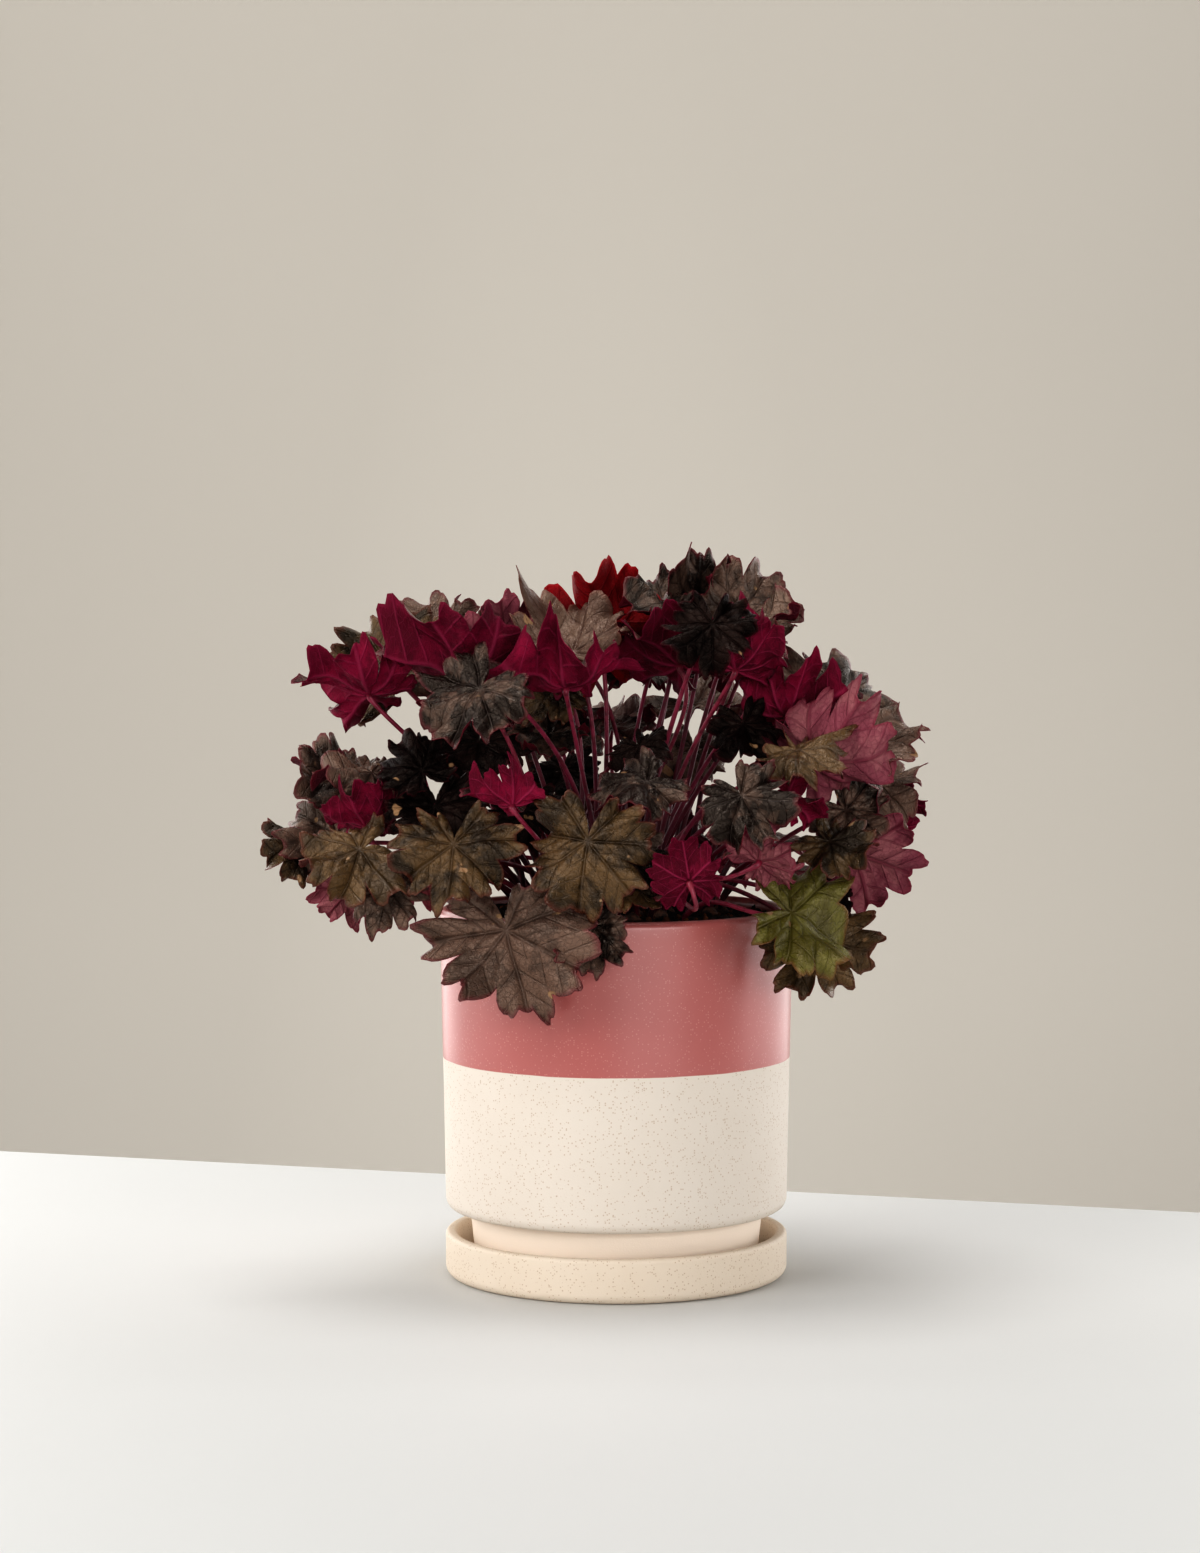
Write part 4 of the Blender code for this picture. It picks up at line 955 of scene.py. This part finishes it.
def grow_leaves(finishes):
    """Every leaf piece, each on the try that its solid was made from."""
    shoots = FRONT_SHOOTS + back_shoots()
    slots = {part["node"]: part["material_slot"] for part in frame["record"]["subparts"]}
    number = 0
    for index, (shoot, place) in enumerate(zip(shoots, root_places(shoots))):
        kind = "leaf" if len(shoot) == 1 else "leaf_pair"
        node = f"{kind}_{index + 1:02d}"
        if node not in NODES:
            number += len(shoot)
            continue
        corners = solid_corners(node)
        roots, sink = shoot_roots(shoot, place)
        blocks = []
        materials = [finishes["stalk"]]
        for row, root in zip(shoot, roots):
            number += 1
            poses = (leaf_pose(row, root, number, attempt) for attempt in range(TRIES))
            leaf = next((pose for pose in poses if stands_as(pose, corners)), None)
            if leaf is None:
                continue
            detail = leaf_detail(number)
            points, upper, under, flat, places = blade_arrays(leaf, detail)
            first = len(materials)
            materials += finishes[row[0]]
            parts = [(part, first) for part in upper] + [(part, first + 1) for part in under]
            blocks.append((points, parts, flat, places, np.full(len(points), detail["shade"])))
            blocks.append(plain_block(*stalk_arrays(leaf, sink), 0, detail["shade"]))
        if kind == "leaf_pair":
            blocks.append(plain_block(*stub_arrays(place), len(materials), STUB_SHADE))
            materials.append(finishes["shoot"])
        set_piece(node + "_blades", node, slots[node], materials, *join_arrays(blocks))


# Turned pieces and soil


def turned_piece(name, node, outline, closed, material):
    """A turned body: the outline's points (radius, height) carried round Z. A closed outline joins its end
    to its start, and an open one starts and ends on Z."""
    outline = np.array(outline)
    rings = outline if closed else outline[1:-1]
    points = ring_points(rings[:, :1], rings[:, 1:], FINE_TURNS).reshape(-1, 3)
    if closed:
        last = grid_faces(2, FINE_TURNS)
        last = np.where(last >= FINE_TURNS, last - FINE_TURNS, last + len(points) - FINE_TURNS)
        faces = [grid_faces(len(rings), FINE_TURNS), last]
    else:
        points = np.vstack([points, [(0.0, 0.0, outline[end, 1]) for end in (0, -1)]])
        faces = capped_faces(len(rings), FINE_TURNS, flip=False)
    set_piece(name, node, node, [material], points, [(part, 0) for part in faces])


def divided(outline, step):
    """The outline with points added so that none lie further apart than step."""
    points = []
    for here, there in zip(outline[:-1], outline[1:]):
        way = np.subtract(there, here)
        count = max(1, math.ceil(float(np.linalg.norm(way)) / step))
        points += [here + way * i / count for i in range(count)]
    return points + [np.array(outline[-1])]


def build_saucer(material):
    """The saucer's outline with fine roundings, turned round Z."""
    corners = [
        (0.0, SAUCER_FLOOR, 0),
        (SAUCER_FLOOR_RADIUS, SAUCER_FLOOR, SAUCER_RIM_ROUND),
        (SAUCER_RIM_INNER, SAUCER_HEIGHT, SAUCER_RIM_ROUND),
        (SAUCER_RADIUS, SAUCER_HEIGHT, SAUCER_RIM_ROUND),
        (SAUCER_RADIUS, 0.0, SAUCER_FOOT_ROUND),
        (0.0, 0.0, 0),
    ]
    outline = divided(rounded_outline(corners), SAUCER_STEP)
    turned_piece("saucer_turned", "saucer", outline, False, material)


def build_pot(material):
    """The pot's outline with fine roundings; above the glaze line its outside stands proud by the glaze."""
    under = SAUCER_FLOOR + CLEARANCE
    low, shoulder, top = pot_inside()
    corners = [
        (POT_RADIUS, POT_TOP, POT_RIM_ROUND),
        (POT_LOW_RADIUS, POT_BODY_LOW, POT_BODY_ROUND),
        (POT_FOOT_TOP_RADIUS, POT_BODY_LOW, 0),
        (POT_FOOT_RADIUS, under, 0),
        (DRAIN_RADIUS, under, 0),
        (DRAIN_RADIUS, low[1], 0),
        (*low, 0),
        (*shoulder, 0),
        (*top, POT_RIM_ROUND),
    ]
    outline = rounded_outline(corners)
    outline = np.array(divided([*outline, outline[0]], POT_STEP)[:-1])
    outside = outline[:, 0] > POT_RADIUS - POT_WALL / 2
    below = smooth_step((GLAZE_LINE + GLAZE_EDGE - outline[:, 1]) / (2 * GLAZE_EDGE))
    outline[:, 0] -= GLAZE_THICK * below * outside
    turned_piece("pot_turned", "pot", outline, True, material)


def crumb_form():
    """A small ball of a few rings and two poles, which each crumb pushes out of true."""
    rings = ring_points(np.sqrt(1 - CRUMB_RINGS**2)[:, None], CRUMB_RINGS[:, None], CRUMB_SIDES)
    points = np.vstack([rings.reshape(-1, 3), (0, 0, -1.0), (0, 0, 1.0)])
    return points, capped_faces(len(CRUMB_RINGS), CRUMB_SIDES)


def build_soil(materials):
    """Soil with small waves and grains on its top, and loose crumbs of bark pressed into it."""
    low, shoulder, top = pot_inside()
    edge = top[0] - CLEARANCE - SOIL_GAP
    floor = low[1] + CLEARANCE
    part = np.linspace(1.0, 0.0, SOIL_ROWS + 1)[:-1, None]
    surface = ring_points(edge * part, 0.0, SOIL_COLUMNS)
    grains = np.random.default_rng([SEED, GRAIN_DRAWS]).uniform(-1, 1, surface.shape[:2])
    surface[..., 2] = soil_height(surface[..., 0], surface[..., 1])
    surface[..., 2] += SOIL_GRAIN * grains * np.minimum(1.0, GRAIN_FADE * part)
    radii = np.array([[low[0]], [shoulder[0]]]) - CLEARANCE
    sides = ring_points(radii, np.array([[floor], [shoulder[1]]]), SOIL_COLUMNS)
    grid = np.concatenate([sides, surface])
    points = np.vstack([grid.reshape(-1, 3), (0, 0, floor), (0, 0, soil_height(0.0, 0.0))])
    blocks = [plain_block(points, capped_faces(len(grid), SOIL_COLUMNS), 0, SOIL_SHADE)]
    draw = np.random.default_rng([SEED, CRUMB_DRAWS])
    ball, ball_faces = crumb_form()
    for _ in range(CRUMBS):
        radius = (edge - CRUMB_FROM_WALL) * math.sqrt(draw.uniform(0, 1))
        angle = draw.uniform(0, 2 * math.pi)
        size = draw.uniform(*CRUMB_SIZE) * draw.uniform(*CRUMB_FLATNESS, 3)
        place = np.array((radius * math.cos(angle), radius * math.sin(angle), 0.0))
        place[2] = float(soil_height(place[0], place[1])) + size.min() * CRUMB_LIFT
        form = ball * (1 + CRUMB_ROUGH * draw.uniform(-1, 1, (len(ball), 1)))
        lean = draw.uniform(-CRUMB_LEAN, CRUMB_LEAN)
        spin = draw.uniform(0, 2 * math.pi)
        c, s = math.cos(spin), math.sin(spin)
        axis = np.array(((c, s, 0), (-s, c, 0), (0, 0, 1.0)))
        c, s = math.cos(lean), math.sin(lean)
        tilt = np.array(((1, 0, 0), (0, c, s), (0, -s, c)))
        crumb = (form * size) @ tilt @ axis + place
        slot = 1 if draw.uniform() < BARK_PART else 0
        blocks.append(plain_block(crumb, ball_faces, slot, draw.uniform()))
    set_piece("soil_crumbled", "soil", "soil", materials, *join_arrays(blocks))


# Finishes


class Finish:
    """A material in the making: most methods add a node, and return the value that the next one reads."""

    def __init__(self, name, roughness, specular=0.5):
        self.material = bpy.data.materials.new(name)
        self.material.use_nodes = True
        self.tree = self.material.node_tree
        self.shader = self.tree.nodes["Principled BSDF"]
        self.feed(self.shader, {"Roughness": roughness, "Specular IOR Level": specular})

    def feed(self, target, inputs):
        """Numbers, colours and links into a node's sockets."""
        for key, value in inputs.items():
            if isinstance(value, bpy.types.NodeSocket):
                self.tree.links.new(value, target.inputs[key])
            else:
                target.inputs[key].default_value = (*value, 1.0) if isinstance(value, tuple) else value

    def node(self, kind, inputs, **settings):
        new = self.tree.nodes.new("ShaderNode" + kind)
        for key, value in settings.items():
            setattr(new, key, value)
        self.feed(new, inputs)
        return new.outputs

    def where(self):
        """The place on the object."""
        return self.node("TexCoord", {})["Object"]

    def carried(self, name, kind="Fac"):
        """A value that the mesh carries at its points."""
        return self.node("Attribute", {}, attribute_name=name)[kind]

    def split(self, vector):
        return self.node("SeparateXYZ", {"Vector": vector})

    def math(self, operation, *values, clamp=False):
        return self.node("Math", dict(enumerate(values)), operation=operation, use_clamp=clamp)[0]

    def times(self, first, second):
        return self.math("MULTIPLY", first, second)

    def step(self, value, low, high):
        """A smooth step of a value from 0 at low to 1 at high."""
        inputs = {"Value": value, "From Min": low, "From Max": high}
        return self.node("MapRange", inputs, interpolation_type="SMOOTHSTEP")["Result"]

    def between(self, value, low, high):
        """A straight run from low where the value is 0 to high where it is 1."""
        return self.node("MapRange", {"Value": value, "To Min": low, "To Max": high})["Result"]

    def mix(self, factor, first, second):
        """The second colour laid over the first."""
        return self.node("Mix", {0: factor, 6: first, 7: second}, data_type="RGBA")[2]

    def noise(self, where, scale, detail, roughness=0.5, dimensions="3D"):
        inputs = {"Vector": where, "Scale": scale, "Detail": detail, "Roughness": roughness}
        return self.node("TexNoise", inputs, noise_dimensions=dimensions)["Fac"]

    def specks(self, colour, dark, where):
        """Fine specks and a faint cloudiness over a ground colour."""
        cloud = self.step(self.noise(where, CLOUD_SCALE, 5.0, 0.6), *CLOUD_FADE)
        colour = self.mix(self.times(cloud, CLOUD_PART), colour, dark)
        cells = self.node("TexVoronoi", {"Vector": where, "Scale": SPECK_SCALE})
        chosen = self.node("SeparateColor", {"Color": cells["Color"]})[0]
        speck = self.times(self.step(chosen, *SPECK_CHOICE), self.step(cells["Distance"], *SPECK_FADE))
        return self.mix(self.times(speck, SPECK_PART), colour, SPECK_COLOUR), speck

    def close(self, colour, height, bump):
        """The finished material, with its colour and with its relief as a bump."""
        inputs = {"Height": height, "Strength": bump[0], "Distance": bump[1]}
        self.feed(self.shader, {"Base Color": colour, "Normal": self.node("Bump", inputs)["Normal"]})
        return self.material


def leaf_finish(name, colours, upper, gloss, specular):
    """A blade's face. colours are the ground, its mottling, the veins and the edge.

    The side veins run from a lobe's main vein to its edge, and a fine net lies between them."""
    ground, mottle, vein_colour, edge_colour = (tuple(np.array(colour) / 1000) for colour in colours)
    finish = Finish(name, gloss, specular)
    times, step = finish.times, finish.step
    flat = finish.node("UVMap", {}, uv_map="blade")["UV"]
    along, beside, reach = finish.split(finish.carried("vein", "Vector"))
    count = finish.math("SUBTRACT", along, times(beside, SIDE_VEIN_LEAN))
    count = finish.math("DIVIDE", count, SIDE_VEIN_STEP)
    from_line = finish.math("SUBTRACT", finish.math("FRACT", finish.math("ADD", count, 0.5)), 0.5)
    side = times(step(finish.math("ABSOLUTE", from_line), *SIDE_VEIN_FADE), SIDE_VEIN_PART)
    veins = finish.math("MAXIMUM", step(beside, *MAIN_VEIN_FADE), side)
    settings = {"feature": "DISTANCE_TO_EDGE", "voronoi_dimensions": "2D"}
    net = finish.node("TexVoronoi", {"Vector": flat, "Scale": NET_SCALE}, **settings)["Distance"]
    lines = finish.math("MAXIMUM", veins, times(step(net, *NET_FADE), NET_PART))
    patches = finish.noise(flat, PATCH_SCALE, 4.0, 0.6, "2D")
    fine_patches = finish.noise(flat, PATCH_SCALE * 5, 3.0, dimensions="2D")
    cloudy = finish.math("MULTIPLY_ADD", fine_patches, 0.25, times(patches, 0.85))
    lean = times(finish.math("SUBTRACT", finish.carried("shade"), 0.5), SHADE_PART)
    amount = finish.math("ADD", step(cloudy, *MOTTLE_FADE), lean, clamp=True)
    colour = finish.mix(amount, ground, mottle)
    colour = finish.mix(times(lines, UPPER_VEIN_PART if upper else UNDER_VEIN_PART), colour, vein_colour)
    colour = finish.mix(times(step(reach, *RIM_FADE), RIM_PART), colour, edge_colour)
    if upper:
        marks = finish.noise(flat, MARK_SCALE, 2.0, dimensions="2D")
        colour = finish.mix(step(marks, *MARK_FADE), colour, DRY_MARK)
    rough = finish.noise(flat, PATCH_SCALE * 3, 3.0, dimensions="2D")
    rough = finish.between(rough, *(gloss + spread for spread in GLOSS_SPREAD))
    finish.feed(finish.shader, {"Specular Tint": SHEEN_TINT, "Roughness": rough})
    grain = times(finish.noise(flat, GRAIN_SCALE, 2.0, dimensions="2D"), 0.5)
    height = finish.math("MULTIPLY_ADD", lines, -1.0 if upper else 1.0, grain)
    return finish.close(colour, height, LEAF_BUMP)


def leaf_finishes():
    """The upper and under finish of each leaf colour."""
    finishes = {}
    for name, (upper, under) in LEAF_COLOURS.items():
        # The near-black leaves of painted shade also get a low specular level, so that they stay dark
        sheen = DULL_SPECULAR if name == "plum" else UPPER_SPECULAR
        finishes[name] = [
            leaf_finish(name + "_upper", upper, True, UPPER_GLOSS, sheen),
            leaf_finish(name + "_under", under, False, UNDER_GLOSS, UNDER_SPECULAR),
        ]
    return finishes


def stalk_finish():
    """Stalks: crimson, darkened towards the soil by painted shade, with fine lines along them."""
    finish = Finish("stalk_crimson", STALK_ROUGHNESS)
    along = finish.split(finish.carried("vein", "Vector"))[0]
    streak = finish.noise(finish.where(), STALK_GRAIN_SCALE, 3.0)
    # Painted shade: near-black at the soil, rising to crimson towards the blade
    colour = finish.mix(finish.step(along, *STALK_SHADE_FADE), STALK_SHADED_LOW, STALK_HIGH)
    pale = finish.times(finish.times(finish.carried("shade"), 0.5), along)
    colour = finish.mix(pale, colour, STALK_PALE)
    colour = finish.mix(finish.step(streak, *STREAK_FADE), colour, STALK_STREAK)
    return finish.close(colour, streak, STALK_BUMP)


def shoot_finish():
    """Woody shoots: brown bark with dark rings."""
    finish = Finish("woody_shoot", BARK_ROUGHNESS)
    grain = finish.noise(finish.where(), BARK_GRAIN_SCALE, 5.0)
    colour = finish.mix(finish.step(grain, *BARK_FADE), BARK_DARK, BARK_LIGHT)
    return finish.close(colour, grain, SHOOT_BUMP)


def saucer_finish():
    """Bare stoneware with fine specks."""
    finish = Finish("bare_stoneware", BARE_ROUGHNESS)
    where = finish.where()
    colour, _ = finish.specks(SAUCER_COLOUR, SAUCER_DARK, where)
    return finish.close(colour, finish.noise(where, STONE_GRAIN_SCALE, 3.0), SAUCER_BUMP)


def pot_finish():
    """Pink satin glaze above the glaze line, bare cream stoneware below it, and a warmer foot painted much
    lighter than the cream as a fill for the shade under the body.
    """
    finish = Finish("two_tone_stoneware", BARE_ROUGHNESS, POT_SPECULAR)
    where = finish.where()
    height = finish.split(where)[2]
    waver = finish.noise(where, WAVER_SCALE, 3.0)
    line = finish.math("MULTIPLY_ADD", waver, GLAZE_WAVER, GLAZE_LINE - GLAZE_WAVER / 2)
    glazed = finish.step(finish.math("SUBTRACT", height, line), -GLAZE_BLUR, GLAZE_BLUR)
    bare, speck = finish.specks(CREAM, CREAM_DARK, where)
    # The foot's own warmer colour, with painted fill light for the shade under the body
    foot = finish.step(height, POT_BODY_LOW + FOOT_BLUR, POT_BODY_LOW - FOOT_BLUR)
    bare = finish.mix(foot, bare, FOOT_TONE_AND_PAINTED_FILL)
    cloud = finish.noise(where, PINK_CLOUD_SCALE, 4.0)
    pink = finish.mix(finish.step(cloud, *PINK_CLOUD_FADE), PINK, PINK_DEEP)
    pink = finish.mix(finish.times(speck, GLAZE_SPECK_PART), pink, PINK_SPECK)
    finish.feed(finish.shader, {
        "Roughness": finish.between(glazed, BARE_ROUGHNESS, GLAZE_ROUGHNESS),
        "Coat Weight": finish.times(glazed, GLAZE_COAT),
        "Coat Roughness": GLAZE_COAT_ROUGHNESS,
    })
    grain = finish.noise(where, STONE_GRAIN_SCALE, 3.0)
    soft = finish.times(finish.noise(where, GLAZE_RIPPLE_SCALE, 2.0), 0.5)
    relief = finish.node("Mix", {0: glazed, 2: grain, 3: soft})[0]
    return finish.close(finish.mix(glazed, bare, pink), relief, POT_BUMP)


def earth_finish(name, dark, light):
    """Crumbly earth, lighter in its grains by each crumb's own shade."""
    finish = Finish(name, EARTH_ROUGHNESS, EARTH_SPECULAR)
    grain = finish.noise(finish.where(), EARTH_GRAIN_SCALE, 6.0, 0.7)
    amount = finish.times(finish.step(grain, *EARTH_FADE), finish.carried("shade"))
    return finish.close(finish.mix(amount, dark, light), grain, EARTH_BUMP)


def studio_finish(name, first, second, roughness, specular, scale, detail):
    """A plain surface with a faint cloudiness of two colours."""
    finish = Finish(name, roughness, specular)
    cloud = finish.noise(finish.where(), scale, detail)
    finish.feed(finish.shader, {"Base Color": finish.mix(cloud, first, second)})
    return finish.material


# Studio


def slab(name, ring, low, high, material):
    """A flat-sided box over a ring of four points, given anticlockwise as seen from above."""
    ring = np.array(ring)
    piece = new_mesh(name, np.vstack([ring + (0, 0, low), ring + (0, 0, high)]), [(BOX_FACES, 0)])
    piece.data.polygons.foreach_set("use_smooth", np.zeros(len(BOX_FACES), bool))
    piece.data.materials.append(material)
    return piece


def build_studio():
    """A pale table whose back edge shows, and a plain wall behind it."""
    left, right = np.array(TABLE_BACK_LEFT), np.array(TABLE_BACK_RIGHT)
    way = unit(right - left)
    near = np.array((way[1], -way[0], 0.0)) * TABLE_DEPTH
    ends = [(left + right) / 2 + way * reach for reach in (-TABLE_REACH, TABLE_REACH)]
    ring = [ends[0] + near, ends[1] + near, ends[1], ends[0]]
    table = slab("table_top", ring, TABLE_LOW, 0.0, studio_finish("pale_table", *TABLE_FINISH))
    screen = slab("wall", WALL_RING, *WALL_HEIGHTS, studio_finish("plain_wall", *WALL_FINISH))


def soft_light(name, place, aim, size, power, colour):
    """A rectangular lamp that looks at a point."""
    light = bpy.data.lights.new(name, "AREA")
    light.shape = "RECTANGLE"
    light.size, light.size_y = size
    light.energy = power
    light.color = colour
    obj = bpy.data.objects.new(name, light)
    bpy.context.scene.collection.objects.link(obj)
    obj.location = place
    way = np.subtract(aim, place)
    obj.rotation_euler = (math.atan2(math.hypot(way[0], way[1]), -way[2]), 0.0, math.atan2(-way[0], way[1]))


def build_room_light():
    """The even light of the room."""
    world = bpy.data.worlds.new("soft_room")
    world.use_nodes = True
    background = world.node_tree.nodes["Background"]
    background.inputs["Color"].default_value = (*ROOM_COLOUR, 1.0)
    background.inputs["Strength"].default_value = ROOM_STRENGTH
    bpy.context.scene.world = world


def build_camera():
    """The camera, level apart from its pitch, at the photograph's place."""
    data = bpy.data.cameras.new("camera")
    data.sensor_width = SENSOR
    data.lens = CAMERA_LENS
    data.clip_start = CAMERA_NEAR
    camera = bpy.data.objects.new("camera", data)
    bpy.context.scene.collection.objects.link(camera)
    camera.location = CAMERA_PLACE
    camera.rotation_euler = (math.pi / 2 - CAMERA_PITCH, 0.0, 0.0)
    bpy.context.scene.camera = camera


# Everything in place
build_camera()
finishes = leaf_finishes()
finishes["stalk"] = stalk_finish()
finishes["shoot"] = shoot_finish()
build_saucer(saucer_finish())
build_pot(pot_finish())
build_soil([earth_finish(name, *colours) for name, colours in EARTH_COLOURS.items()])
grow_leaves(finishes)
build_studio()
for light_name, light_settings in LIGHTS.items():
    soft_light(light_name, *light_settings)
build_room_light()
view = bpy.context.scene.view_settings
view.view_transform = "Standard"
view.look = "High Contrast"
view.exposure = EXPOSURE
